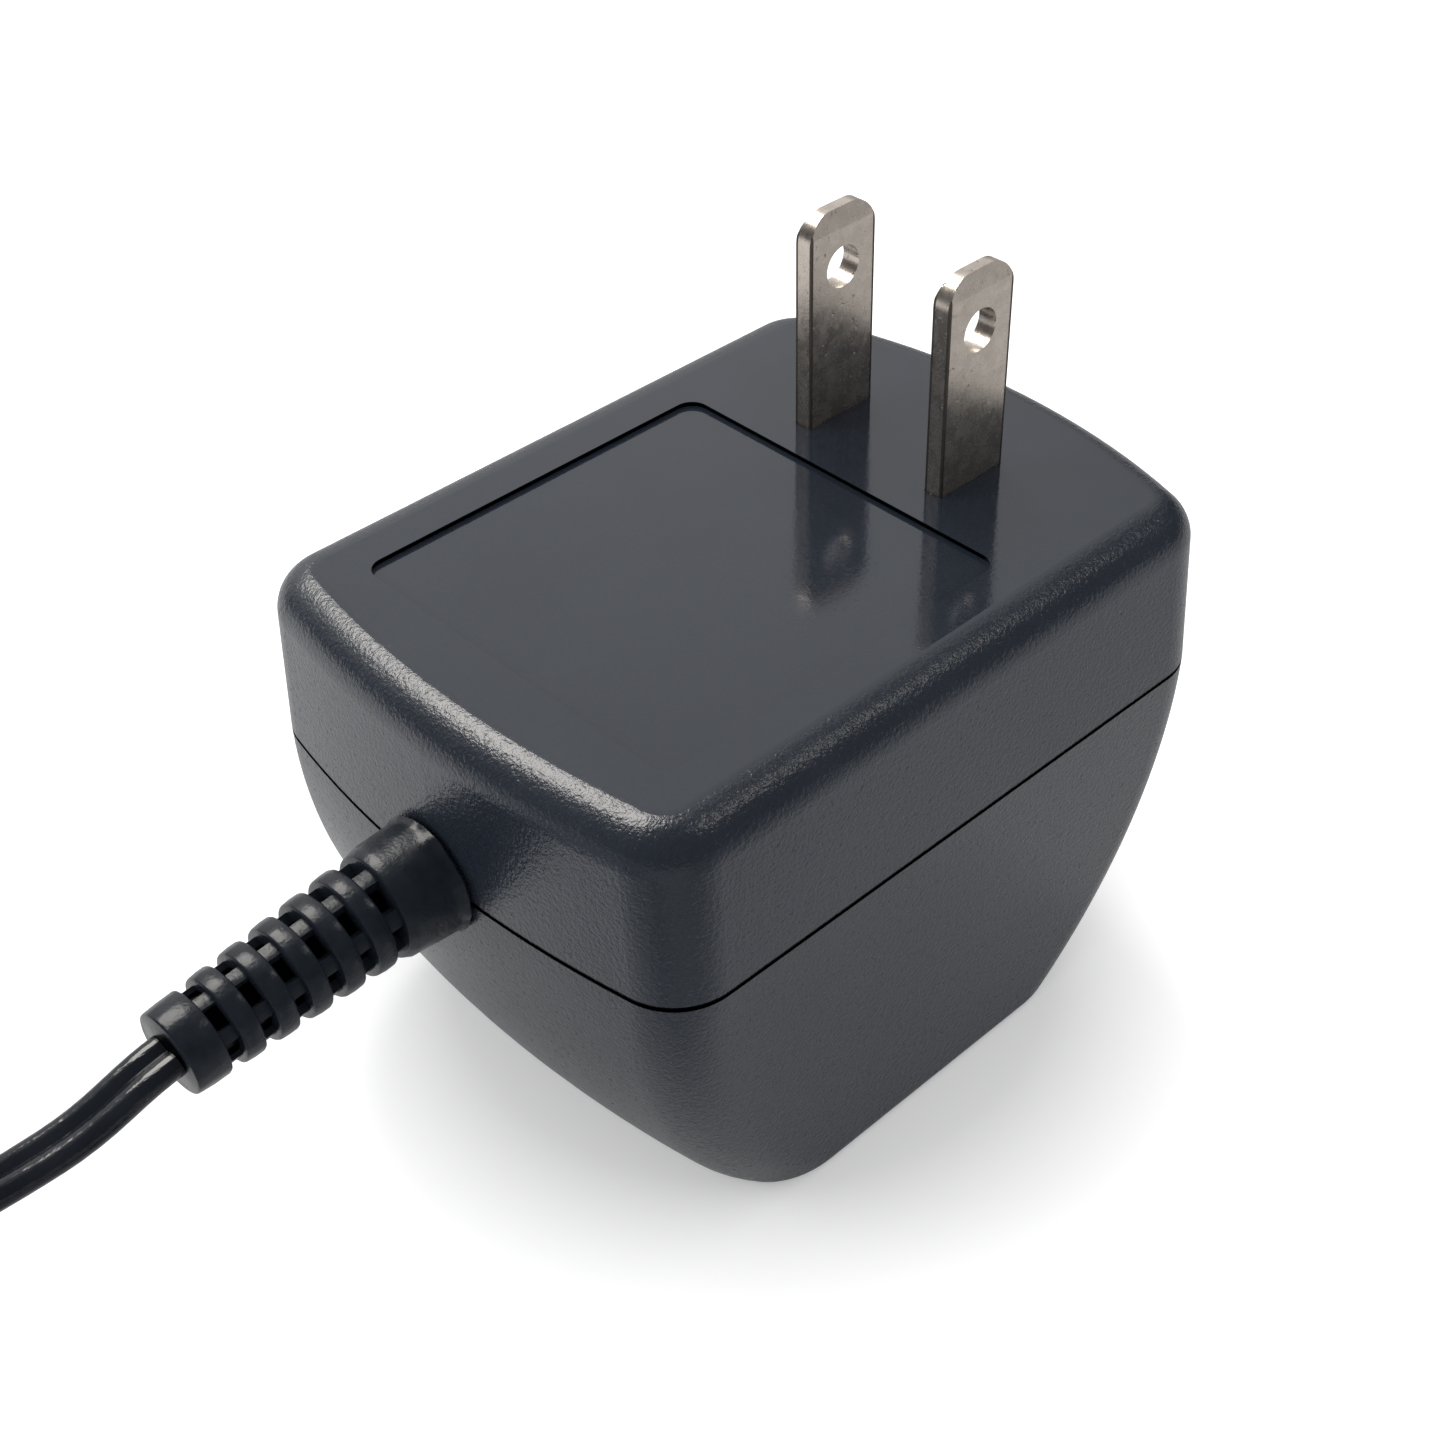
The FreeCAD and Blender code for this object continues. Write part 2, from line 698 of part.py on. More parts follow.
def make_relief_flex():
    """The flexing part: tapered rings on a core, with webs and windows in each gap, and a cuff at the end."""
    place = (-D.half_length - D.collar_length, 0, D.seam_height)
    body = new_body("relief_flex", place)
    body.Placement.Rotation = Rotation(FLEX_HINGE, D.flex_bend.number)
    bind(body, ".Placement.Rotation.Angle", D.flex_bend)
    root = D.bead_thickness
    envelope = new_sketch(body, "flex_envelope", "XZ_Plane")
    corners = [
        (-FLEX_LENGTH, 0), (root, 0), (root, flex_radius(root)),
        (-FLEX_LENGTH, flex_radius(FLEX_LENGTH)),
    ]
    turn(body, "Revolution", add_outline(envelope, corners), Angle=360.0)
    for number in range(FLEX_RINGS + 1):
        near = number * D.flex_pitch
        far = near + FLEX_GAP
        web = flex_radius(far) - D.web_depth
        above = D.collar_front_diameter
        gap = new_sketch(body, f"flex_gap_{number}", "XZ_Plane")
        turn(body, "Groove", add_rectangle(gap, -far, -near, web, above), Angle=360.0)
        window = new_sketch(body, f"flex_window_{number}", "XZ_Plane", roll=D.window_roll)
        add_rectangle(window, -far, -near, D.relief_core_diameter / 2, above)
        cut = turn(body, "Groove", window, Angle=D.window_width, Midplane=True)
        ring = body.newObject("PartDesign::PolarPattern", f"flex_windows_{number}")
        ring.Originals = [cut]
        ring.Axis = (origin_feature(body, "X_Axis"), [""])
        ring.Angle = 360.0
        ring.Occurrences = WINDOWS_AROUND
        body.Tip = ring
        doc.recompute()
    return body


def make_strain_relief():
    """One moulded strain relief: the collar and the flex section are a single piece."""
    collar = make_relief_collar()
    flex = make_relief_flex()
    relief = doc.addObject("Part::Fuse", "strain_relief")
    relief.Base = collar
    relief.Tool = flex
    doc.recompute()
    return finish(relief, "strain_relief")


def rounded_path(points):
    """Joins straight runs with tangent arcs as large as the runs allow, and gives the wire and the radii."""
    points = [Vector(*point) for point in points]
    edges = []
    radii = []
    start = points[0]
    for before, corner, after in zip(points, points[1:], points[2:]):
        back = before - corner
        ahead = after - corner
        half_turn = (math.pi - back.getAngle(ahead)) / 2
        reach = 0.45 * min(back.Length, ahead.Length)
        radii.append(reach / math.tan(half_turn))
        enter = corner + back.normalize() * reach
        leave = corner + ahead.normalize() * reach
        inwards = (back + ahead).normalize()
        depth = radii[-1] / math.cos(half_turn) - radii[-1]
        edges.append(Part.LineSegment(start, enter).toShape())
        edges.append(Part.Arc(enter, corner + inwards * depth, leave).toShape())
        start = leave
    edges.append(Part.LineSegment(start, points[-1]).toShape())
    return Part.Wire(edges), radii


def make_tube(label, points, diameter):
    """A round tube along a path, with its volume compared with section times length."""
    path, radii = rounded_path(points)
    start = path.Edges[0]
    heading = start.tangentAt(start.FirstParameter)
    ring = Part.Wire(Part.Circle(Vector(*points[0]), heading, diameter.number / 2).toShape())
    tube = path.makePipeShell([ring], True, True)
    expected = math.pi * (diameter.number / 2) ** 2 * path.Length
    if abs(tube.Volume - expected) > 0.01 * expected:
        raise RuntimeError(f"{label} holds {tube.Volume:.1f} mm3 instead of {expected:.1f}")
    smallest = min(radii)
    print(f"{label}: {path.Length:.1f} mm long, smallest radius {smallest:.1f} mm of", [round(r, 1) for r in radii])
    item = doc.addObject("Part::Feature", label)
    item.Shape = tube
    return finish(item, label)


def numbers(*sizes):
    return tuple(as_size(value).number for value in sizes)


def flex_axis():
    """The direction in which the bent strain relief points."""
    return Rotation(FLEX_HINGE, D.flex_bend.number).multVec(Vector(-1, 0, 0))


def make_output_cord():
    """The cord from the relief's cuff down to the last turn of its coil."""
    root = Vector(*numbers(-D.half_length - D.collar_length, 0, D.seam_height))
    cuff = root + flex_axis() * FLEX_LENGTH.number
    straight = cuff + flex_axis() * D.cord_straight_length.number
    side = COIL_OUTER_TURN - D.coil_from_middle
    last = numbers(COIL_END + D.cord_last_run, side, TOP_ROW_HEIGHT)
    end = numbers(COIL_END, side, TOP_ROW_HEIGHT)
    return make_tube("output_cord", [cuff, straight, *CORD_ROUTE, last, end], D.cord_width)


def make_cord_tail():
    """The short stretch between the coil and the plug, which rises from the floor to the plug's axis."""
    side = -COIL_OUTER_TURN - D.coil_from_middle
    axis = D.grip_diameter / 2
    steps = [COIL_END + number * D.cord_tail_run for number in range(4)]
    levels = (BOTTOM_ROW_HEIGHT, BOTTOM_ROW_HEIGHT, axis, axis)
    points = [numbers(step, side, level) for step, level in zip(steps, levels)]
    return make_tube("cord_tail", points, D.cord_width)


def make_cord_coil():
    """The put-away length: a flat round coil, with the first and last turn running straight out of it."""
    body = new_body("cord_coil", (-D.coil_from_centre, -D.coil_from_middle, 0))
    spread = (D.turns_across + 1) * D.turn_pitch / 2
    inner = D.coil_middle_radius - spread
    outer = D.coil_middle_radius + spread
    section = new_sketch(body, "coil_section", "XZ_Plane")
    top = D.coil_rows * D.turn_rise
    add_rounded_rectangle(section, inner, outer, as_size(0), top, D.coil_edge_radius)
    turn(body, "Revolution", section, "V_Axis", Angle=360.0)
    ends = new_sketch(body, "coil_ends", "YZ_Plane")
    add_circle(ends, COIL_OUTER_TURN, TOP_ROW_HEIGHT, D.cord_width)
    add_circle(ends, -COIL_OUTER_TURN, BOTTOM_ROW_HEIGHT, D.cord_width)
    pad(body, ends, D.coil_end_length)
    return finish(body, "cord_coil")


def new_plug_body(name):
    place = (TAIL_END, -COIL_OUTER_TURN - D.coil_from_middle, D.grip_diameter / 2)
    return new_body(name, place)


def make_plug_tube(name, start, end, inner, outer):
    """A round tube on the plug's axis."""
    body = new_plug_body(name)
    section = new_sketch(body, f"{name}_section", "XZ_Plane")
    turn(body, "Revolution", add_rectangle(section, start, end, inner, outer), Angle=360.0)
    return finish(body, name)


def make_plug():
    """The moulded grip with its grooved tail, and the sleeve, insulator and inner contact that it holds."""
    body = new_plug_body("plug_grip")
    nose = D.plug_tail_length + D.grip_length
    seat = nose - D.sleeve_seat
    sleeve = D.sleeve_diameter / 2
    socket = sleeve - D.sleeve_step
    tail = D.plug_tail_diameter / 2
    root = D.plug_tail_root_diameter / 2
    taper = D.plug_groove_width * 2
    profile = new_sketch(body, "grip_profile", "XZ_Plane")
    corners = [
        (0, 0), (seat, 0), (seat, socket), (nose, socket), (nose, D.grip_nose_diameter / 2),
        (nose - taper, D.grip_diameter / 2), (D.plug_tail_length + taper, D.grip_diameter / 2),
        (D.plug_tail_length, root), (0, tail),
    ]
    turn(body, "Revolution", add_outline(profile, corners), Angle=360.0)
    grooves = new_sketch(body, "tail_grooves", "XZ_Plane")
    step = D.plug_tail_length / (PLUG_GROOVES + 1)
    for number in range(1, PLUG_GROOVES + 1):
        start = number * step - D.plug_groove_width / 2
        floor = tail + (root - tail) * start / D.plug_tail_length - D.plug_groove_depth
        add_rectangle(grooves, start, start + D.plug_groove_width, floor, D.grip_diameter / 2)
    turn(body, "Groove", grooves, Angle=360.0)
    finish(body, "plug_grip")

    tip = nose + D.sleeve_reach
    bore = sleeve - D.sleeve_wall
    contact = D.contact_bore / 2 + D.contact_wall
    body = new_plug_body("plug_sleeve")
    section = new_sketch(body, "plug_sleeve_section", "XZ_Plane")
    corners = [(seat, bore), (tip, bore), (tip, sleeve), (nose, sleeve), (nose, socket), (seat, socket)]
    turn(body, "Revolution", add_outline(section, corners), Angle=360.0)
    finish(body, "plug_sleeve")
    make_plug_tube("plug_insulator", seat, tip - D.contact_setback, contact, bore)
    make_plug_tube("plug_contact", seat, tip - 2 * D.contact_setback, D.contact_bore / 2, contact)


def make_core():
    """The laminated core: a stack of E sheets around the bobbin and a stack of I sheets across their legs."""
    half = CORE_HALF_WIDTH
    leg = CORE_LEG
    inner = half - leg
    opening = D.window_length / 2
    body = new_body("core_e_stack", (D.core_offset, 0, STACK_BOTTOM))
    outline = new_sketch(body, "e_sheet", "XY_Plane")
    corners = [
        (-half, -opening - leg), (half, -opening - leg), (half, opening), (inner, opening),
        (inner, -opening), (leg, -opening), (leg, opening), (-leg, opening),
        (-leg, -opening), (-inner, -opening), (-inner, opening), (-half, opening),
    ]
    pad(body, add_outline(outline, corners), STACK_HEIGHT)
    finish(body, "core_e_stack")
    body = new_body("core_i_stack", (D.core_offset, 0, STACK_BOTTOM))
    outline = new_sketch(body, "i_sheet", "XY_Plane")
    pad(body, add_rectangle(outline, -half, half, opening, opening + leg), STACK_HEIGHT)
    finish(body, "core_i_stack")


def bobbin_tube_half_sizes():
    """Half the width and half the height of the bobbin's tube, outside."""
    grow = D.bobbin_clearance + D.bobbin_wall
    return CORE_LEG + grow, STACK_HEIGHT / 2 + grow


def make_bobbin():
    """The split bobbin: a square tube on the core's middle leg, with a flange at each end and one between."""
    body = new_body("bobbin", (D.core_offset, 0, STACK_MIDDLE))
    across, up = bobbin_tube_half_sizes()
    half_length = D.window_length / 2 - D.flange_play / 2
    tube = new_sketch(body, "bobbin_tube", "XZ_Plane")
    pad(body, add_rectangle(tube, -across, across, -up, up), 2 * half_length, Midplane=True)
    reach = CORE_LEG + D.window_width_of_core - D.flange_play
    height = FLANGE_HEIGHT / 2
    thick = D.flange_thickness
    for name, middle in (("front", thick / 2 - half_length), ("middle", 0), ("rear", half_length - thick / 2)):
        flange = new_sketch(body, f"{name}_flange", "XZ_Plane", (0, 0, -1 * as_size(middle)))
        pad(body, add_rectangle(flange, -reach, reach, -height, height), thick, Midplane=True)
    hole = new_sketch(body, "bobbin_hole", "XZ_Plane")
    wall = D.bobbin_wall
    add_rectangle(hole, wall - across, across - wall, wall - up, up - wall)
    pocket(body, hole, 3 * half_length, Midplane=True)
    return finish(body, "bobbin")


def chamber(side):
    """Where a bobbin chamber's middle lies along the bobbin, and how long the chamber is."""
    flange = D.window_length / 2 - D.flange_play / 2 - D.flange_thickness
    length = flange - D.flange_thickness / 2
    return side * (flange - length / 2), length


def make_winding(name, side):
    """A winding: a solid ring with rounded corners around the bobbin's tube, between two flanges."""
    body = new_body(name, (D.core_offset, 0, STACK_MIDDLE))
    middle, length = chamber(side)
    across, up = bobbin_tube_half_sizes()
    ring = new_sketch(body, f"{name}_ring", "XZ_Plane", (0, 0, -middle))
    add_rectangle(ring, -across, across, -up, up)
    wide, tall = across + D.winding_depth, up + D.winding_depth
    add_rounded_rectangle(ring, -wide, wide, -tall, tall, D.winding_corner)
    pad(body, ring, length, Midplane=True)
    return finish(body, name)


def make_tape(name, side):
    """The turn of tape around a winding, as wide as the winding and following its corners."""
    body = new_body(name, (D.core_offset, 0, STACK_MIDDLE))
    middle, length = chamber(side)
    across, up = bobbin_tube_half_sizes()
    ring = new_sketch(body, f"{name}_ring", "XZ_Plane", (0, 0, -middle))
    for extra in (as_size(0), D.tape_thickness):
        wide = across + D.winding_depth + extra
        tall = up + D.winding_depth + extra
        add_rounded_rectangle(ring, -wide, wide, -tall, tall, D.winding_corner + extra)
    pad(body, ring, length, Midplane=True)
    return finish(body, name)


def make_windings():
    """Primary and secondary side by side, each under its own tape."""
    for name, side in (("primary", -1), ("secondary", 1)):
        make_winding(f"{name}_winding", side)
        make_tape(f"{name}_tape", side)


def make_board():
    """The rectifier board, which rests on the bobbin's flanges, with its two pin holes."""
    body = new_body("rectifier_board", (0, 0, BOARD_TOP - D.board_thickness))
    outline = new_sketch(body, "board_outline", "XY_Plane")
    half = D.board_half_width
    add_rectangle(outline, BOARD_NEAR_END, BOARD_FAR_END, -half, half)
    for number in (0, 1):
        add_circle(outline, FIRST_PIN + number * D.pin_spacing, pin_row(), D.pin_diameter)
    pad(body, outline, D.board_thickness)
    return finish(body, "rectifier_board")


def pin_row():
    """The pins stand on the middle of the bobbin's rear flange."""
    return D.window_length / 2 - D.flange_play / 2 - D.flange_thickness / 2


def make_pins():
    """Two pins that carry the secondary's ends from the bobbin through the board."""
    for number, name in enumerate(("secondary_pin_1", "secondary_pin_2")):
        place = (FIRST_PIN + number * D.pin_spacing, pin_row(), BOARD_TOP - D.board_thickness)
        body = new_body(name, place)
        circle = add_circle(new_sketch(body, f"{name}_circle", "XY_Plane"), 0, 0, D.pin_diameter)
        pad(body, circle, D.pin_height)
        finish(body, name)


def make_diode(number):
    """An axial diode that lies across the board on its two bent leads."""
    name = f"diode_{number + 1}"
    lift = D.diode_diameter / 2 + D.diode_lead / 4
    first = BOARD_NEAR_END + D.first_diode_margin
    place = (first + number * D.diode_pitch, D.diode_row, BOARD_TOP + lift)
    body = new_body(name, place)
    middle = new_sketch(body, f"{name}_body", "XZ_Plane")
    pad(body, add_circle(middle, 0, 0, D.diode_diameter), D.diode_length, Midplane=True)
    lead = new_sketch(body, f"{name}_lead", "XZ_Plane")
    pad(body, add_circle(lead, 0, 0, D.diode_lead), D.diode_span, Midplane=True)
    feet = new_sketch(body, f"{name}_feet", "XY_Plane", (0, 0, -lift))
    for side in (-1, 1):
        add_circle(feet, 0, side * (D.diode_span - D.diode_lead) / 2, D.diode_lead)
    pad(body, feet, lift)
    return finish(body, name)


def make_capacitor():
    """The smoothing capacitor: a can on its side, with its two leads bent down to the board."""
    lift = D.capacitor_diameter / 2
    place = (BOARD_FAR_END - D.capacitor_margin, D.capacitor_row, BOARD_TOP + lift)
    body = new_body("smoothing_capacitor", place)
    can = new_sketch(body, "capacitor_can", "YZ_Plane", (0, 0, -D.capacitor_length))
    pad(body, add_circle(can, 0, 0, D.capacitor_diameter), D.capacitor_length)
    reach = D.capacitor_lead * 2
    leads = new_sketch(body, "capacitor_leads", "YZ_Plane", (0, 0, -D.capacitor_length - reach))
    feet = new_sketch(body, "capacitor_feet", "XY_Plane", (0, 0, -lift))
    for side in (-1, 1):
        row = side * D.capacitor_lead_gap / 2
        add_circle(leads, row, 0, D.capacitor_lead)
        add_circle(feet, D.capacitor_lead / 2 - D.capacitor_length - reach, row, D.capacitor_lead)
    pad(body, leads, reach)
    pad(body, feet, lift)
    return finish(body, "smoothing_capacitor")


def make_thermal_fuse():
    """The thermal fuse, in line with the front blade's lead, which lies on the core's yoke."""
    body = new_body("thermal_fuse", (FUSE_END, -YOKE_MIDDLE, STACK_TOP + D.fuse_diameter / 2))
    profile = new_sketch(body, "fuse_profile", "XZ_Plane")
    radius = D.fuse_diameter / 2
    neck = D.wire_diameter / 2
    shoulder = radius - neck
    corners = [
        (-D.fuse_length, 0), (0, 0), (0, neck), (-shoulder, radius),
        (shoulder - D.fuse_length, radius), (-D.fuse_length, neck),
    ]
    turn(body, "Revolution", add_outline(profile, corners), Angle=360.0)
    return finish(body, "thermal_fuse")


def make_leads():
    """The insulated leads inside: blade to fuse, fuse to primary, other blade to primary, board to cord."""
    blade_x = D.blade_from_centre - D.blade_tail_width / 4
    blade_face = D.blade_spacing / 2 + D.blade_thickness / 2
    inner_face = D.blade_spacing / 2 - D.blade_thickness / 2
    joint = BOSS_FACE - D.shoulder_height - D.blade_tail_length / 2
    axis = STACK_TOP + D.fuse_diameter / 2
    flange = D.window_length / 2 - D.flange_play / 2
    row = -YOKE_MIDDLE
    make_tube("live_lead", [
        numbers(FUSE_END, row, axis), numbers(blade_x, row, axis),
        numbers(blade_x, row, joint), numbers(blade_x, -blade_face, joint),
    ], D.wire_diameter)
    start = FUSE_END - D.fuse_length
    middle = start - 2 * D.wire_diameter
    make_tube("fuse_lead", [
        numbers(start, row, axis), numbers(middle, row, axis), numbers(middle, -flange, axis),
    ], D.wire_diameter)
    inner = D.core_offset + CORE_LEG + D.window_width_of_core - 2 * D.wire_diameter
    make_tube("neutral_lead", [
        numbers(blade_x, inner_face, joint), numbers(blade_x, 0, joint),
        numbers(inner, 0, joint - D.wire_diameter), numbers(inner, 0, FLANGE_TOP),
    ], D.wire_diameter)
    anchor = D.case_wall + D.anchor_clearance + D.anchor_thickness - D.half_length
    above = BOARD_TOP + D.conductor_diameter / 2
    rise = 2 * D.conductor_diameter
    for name, side in (("output_conductor_1", -1), ("output_conductor_2", 1)):
        lane = side * D.conductor_spacing / 2
        make_tube(name, [
            numbers(anchor, lane, D.seam_height), numbers(anchor + rise, lane, D.seam_height),
            numbers(BOARD_NEAR_END - rise, lane, above), numbers(BOARD_NEAR_END + rise, lane, above),
        ], D.conductor_diameter)


def make_all():
    make_blade_cover()
    make_deep_case()
    make_blade("blade_front", -1)
    make_blade("blade_rear", 1)
    make_strain_relief()
    make_output_cord()
    make_cord_coil()
    make_cord_tail()
    make_plug()
    make_core()
    make_bobbin()
    make_windings()
    make_board()
    make_pins()
    for number in range(DIODES):
        make_diode(number)
    make_capacitor()
    make_thermal_fuse()
    make_leads()


def write_parts():
    """Checks every object and sub-part, and writes each sub-part to its file."""
    doc.recompute()
    for item in doc.Objects:
        if "Invalid" in item.State or "Error" in item.State:
            raise RuntimeError(f"{item.Name} failed: {item.State}")
    os.makedirs("parts", exist_ok=True)
    for item in finished:
        shape = item.Shape
        if shape.isNull() or not shape.isValid() or len(shape.Solids) != 1:
            raise RuntimeError(f"{item.Label} has no valid single solid")
        shape.exportStep(f"parts/{item.Label}.step")
    print(len(finished), "parts written")


make_all()
write_parts()
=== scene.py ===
import math
import bmesh
import bpy
from mathutils import Matrix, Quaternion, Vector, noise


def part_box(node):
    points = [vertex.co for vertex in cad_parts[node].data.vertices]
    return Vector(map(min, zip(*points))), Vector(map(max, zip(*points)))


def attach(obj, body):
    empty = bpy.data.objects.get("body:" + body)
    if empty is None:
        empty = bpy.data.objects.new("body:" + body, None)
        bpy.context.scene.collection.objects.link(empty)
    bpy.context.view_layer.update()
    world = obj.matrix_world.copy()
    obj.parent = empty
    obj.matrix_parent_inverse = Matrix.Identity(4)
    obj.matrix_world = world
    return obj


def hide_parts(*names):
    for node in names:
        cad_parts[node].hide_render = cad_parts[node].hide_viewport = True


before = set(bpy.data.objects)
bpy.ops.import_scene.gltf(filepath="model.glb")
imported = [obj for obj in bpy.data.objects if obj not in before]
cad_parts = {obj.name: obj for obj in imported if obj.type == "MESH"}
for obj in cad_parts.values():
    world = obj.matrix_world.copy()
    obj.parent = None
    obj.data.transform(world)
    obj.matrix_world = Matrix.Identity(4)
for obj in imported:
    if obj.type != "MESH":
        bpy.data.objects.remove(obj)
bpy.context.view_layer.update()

# Viewpoint of the photograph.
# The camera looks down on the corner between the cord end and a long side, from about 0.18 m away.
# Its place and lens were fitted to the two standard blades and to the case's outline.
view_azimuth = math.radians(-42.75)
view_height = math.radians(39.867)
view_roll = math.radians(-1.52)
away = Vector((
    math.sin(view_azimuth) * math.cos(view_height),
    -math.cos(view_azimuth) * math.cos(view_height),
    math.sin(view_height),
))
camera = bpy.data.objects.new("camera", bpy.data.cameras.new("camera"))
camera.location = (-0.085372, -0.089464, 0.126634)
camera.rotation_mode = "QUATERNION"
camera.rotation_quaternion = (-away).to_track_quat("-Z", "Y") @ Quaternion((0, 0, 1), view_roll)
camera.data.lens = 54.50
camera.data.clip_start = 0.005
bpy.context.collection.objects.link(camera)
bpy.context.scene.camera = camera

# Output cord: about 1.5 m of flat twin cord, two stranded wires side by side under black PVC.
# It leaves the cuff broad face up, sinks to the table and turns on edge into a coil of two rows.
# The coil and the barrel plug lie outside the photograph, beside the cord end of the case.
cord_width = 0.0035
cord_thickness = 0.00175
cord_web = 0.00095
relief_root = Vector((-0.03364, 0, 0.02767))
relief_droop = math.radians(4.15)
droop_axis = Vector((0, -0.92, 0.39))
relief_turn = Matrix.Rotation(relief_droop, 3, droop_axis)
relief_axis = relief_turn @ Vector((-1, 0, 0))
cuff_end = 0.0160
straight_exit = 0.0016
coil_centre = Vector((-0.115, -0.013, 0))
coil_outer = 0.025225
coil_pitch = 0.0019
upper_row, lower_row = 0.0054, 0.0018
turns_each_way = 5.5
points_per_turn = 16
flat_stretch = 0.015
turning_stretch = 0.05
cord_exit = relief_root + relief_axis * cuff_end
plug_low, plug_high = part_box("plug_grip")
cord_route = [
    cord_exit,
    relief_root + relief_axis * (cuff_end + straight_exit),
    Vector((-0.0558, -0.0001, 0.0245)),
    Vector((-0.0599, 0.0009, 0.0233)),
    Vector((-0.0646, 0.0029, 0.0213)),
    Vector((-0.0701, 0.0056, 0.0182)),
    Vector((-0.0762, 0.0085, 0.0139)),
    Vector((-0.0828, 0.0106, 0.0096)),
    Vector((-0.0897, 0.0118, 0.0065)),
    Vector((-0.0965, coil_centre.y + coil_outer, upper_row)),
    Vector((-0.1030, coil_centre.y + coil_outer, upper_row)),
]


def coil_point(turns, radius, height):
    """A point of the coil, that many turns on from where the cord first touches it."""
    angle = math.radians(90 + 360 * turns)
    return coil_centre + Vector((radius * math.cos(angle), radius * math.sin(angle), height))


coil_steps = int(turns_each_way * points_per_turn)
coil_inner = coil_outer - turns_each_way * coil_pitch
for step in range(coil_steps + 1):
    turns = step / points_per_turn
    cord_route.append(coil_point(turns, coil_outer - turns * coil_pitch, upper_row))
for step in range(1, points_per_turn // 2):
    share = step / (points_per_turn / 2)
    height = upper_row + (lower_row - upper_row) * share
    cord_route.append(coil_point(turns_each_way + share / 2, coil_inner, height))
for step in range(coil_steps + 1):
    turns = step / points_per_turn
    around = turns_each_way + 0.5 + turns
    cord_route.append(coil_point(around, coil_inner + turns * coil_pitch, lower_row))
tail_side = coil_centre.y - coil_outer
plug_axis = (plug_low.z + plug_high.z) / 2
cord_route += [
    Vector((-0.1030, tail_side, lower_row)),
    Vector((-0.0950, tail_side, lower_row)),
    Vector((-0.0870, tail_side, plug_axis)),
    Vector((plug_low.x, tail_side, plug_axis)),
]


def cord_line(points):
    """The cord's smooth line: the points that a NURBS spline gives between its control points."""
    curve = bpy.data.curves.new("cord_line", "CURVE")
    curve.dimensions = "3D"
    spline = curve.splines.new("NURBS")
    spline.points.add(len(points) - 1)
    for control, point in zip(spline.points, points):
        control.co = (*point, 1)
    spline.order_u = 3
    spline.use_endpoint_u = True
    spline.resolution_u = 4
    holder = bpy.data.objects.new("cord_line", curve)
    mesh = bpy.data.meshes.new_from_object(holder)
    line = [vertex.co.copy() for vertex in mesh.vertices]
    bpy.data.objects.remove(holder)
    bpy.data.meshes.remove(mesh)
    return line


def cord_section():
    """The cord's outline across it: two round wires and the web that joins them."""
    wire = cord_thickness / 2
    centre = cord_width / 2 - wire
    points_a_face = 24
    outline = []
    for face in (1, -1):
        for step in range(points_a_face):
            across = -face * math.cos(math.pi * step / points_a_face) * cord_width / 2
            beside = abs(across) - centre
            rise = math.sqrt(max(wire ** 2 - beside ** 2, 0))
            rise = max(rise, cord_web / 2) if beside < 0 else rise
            outline.append((across, face * rise))
    return outline


def cord_twist(travelled):
    """How far the cord has turned, that far along it: broad face up at first, on edge in the coil."""
    share = min(max((travelled - flat_stretch) / turning_stretch, 0), 1)
    return math.pi / 2 * share * share * (3 - 2 * share)


def sweep(bm, line, outline, twist_at):
    """Draws an outline along a line, turned about it as twist_at says for each distance."""
    rings = []
    travelled = 0
    for number, point in enumerate(line):
        before = line[max(number - 1, 0)]
        after = line[min(number + 1, len(line) - 1)]
        along = (after - before).normalized()
        travelled += (point - before).length
        side = Vector((0, 0, 1)).cross(along).normalized()
        upward = along.cross(side)
        twist = twist_at(travelled)
        across = side * math.cos(twist) + upward * math.sin(twist)
        out = along.cross(across)
        rings.append([bm.verts.new(point + across * a + out * b) for a, b in outline])
    for ring, after in zip(rings, rings[1:]):
        for n in range(len(outline)):
            m = (n + 1) % len(outline)
            bm.faces.new((ring[n], ring[m], after[m], after[n]))
    bm.faces.new(rings[0][::-1])
    bm.faces.new(rings[-1])


def make_piece(name, bm, sharp_angle=40):
    """Turns a bmesh into a piece of the object, smooth except at edges sharper than an angle."""
    bmesh.ops.recalc_face_normals(bm, faces=bm.faces)
    for face in bm.faces:
        face.smooth = True
    for edge in bm.edges:
        edge.smooth = edge.calc_face_angle(0) < math.radians(sharp_angle)
    mesh = bpy.data.meshes.new(name)
    bm.to_mesh(mesh)
    bm.free()
    piece = bpy.data.objects.new(name, mesh)
    bpy.context.collection.objects.link(piece)
    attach(piece, "root")
    return piece


class Wire:
    """An output of a material's node, so that the maths on it reads as ordinary sums."""

    def __init__(self, finish, socket):
        self.finish = finish
        self.socket = socket

    def sum(self, operation, first, second=None):
        inputs = {0: first} if second is None else {0: first, 1: second}
        return self.finish.node("ShaderNodeMath", {"operation": operation}, inputs)

    def __add__(self, other):
        return self.sum("ADD", self, other)

    __radd__ = __add__

    def __sub__(self, other):
        return self.sum("SUBTRACT", self, other)

    def __rsub__(self, other):
        return self.sum("SUBTRACT", other, self)

    def __mul__(self, other):
        return self.sum("MULTIPLY", self, other)

    __rmul__ = __mul__

    def __truediv__(self, other):
        return self.sum("DIVIDE", self, other)

    def __abs__(self):
        return self.sum("ABSOLUTE", self)

    def above(self, limit):
        """1 where the value is over a limit, and 0 elsewhere."""
        return self.sum("GREATER_THAN", self, limit)

    def clipped(self):
        """The value held between 0 and 1."""
        return self.finish.node("ShaderNodeClamp", {}, {"Value": self})


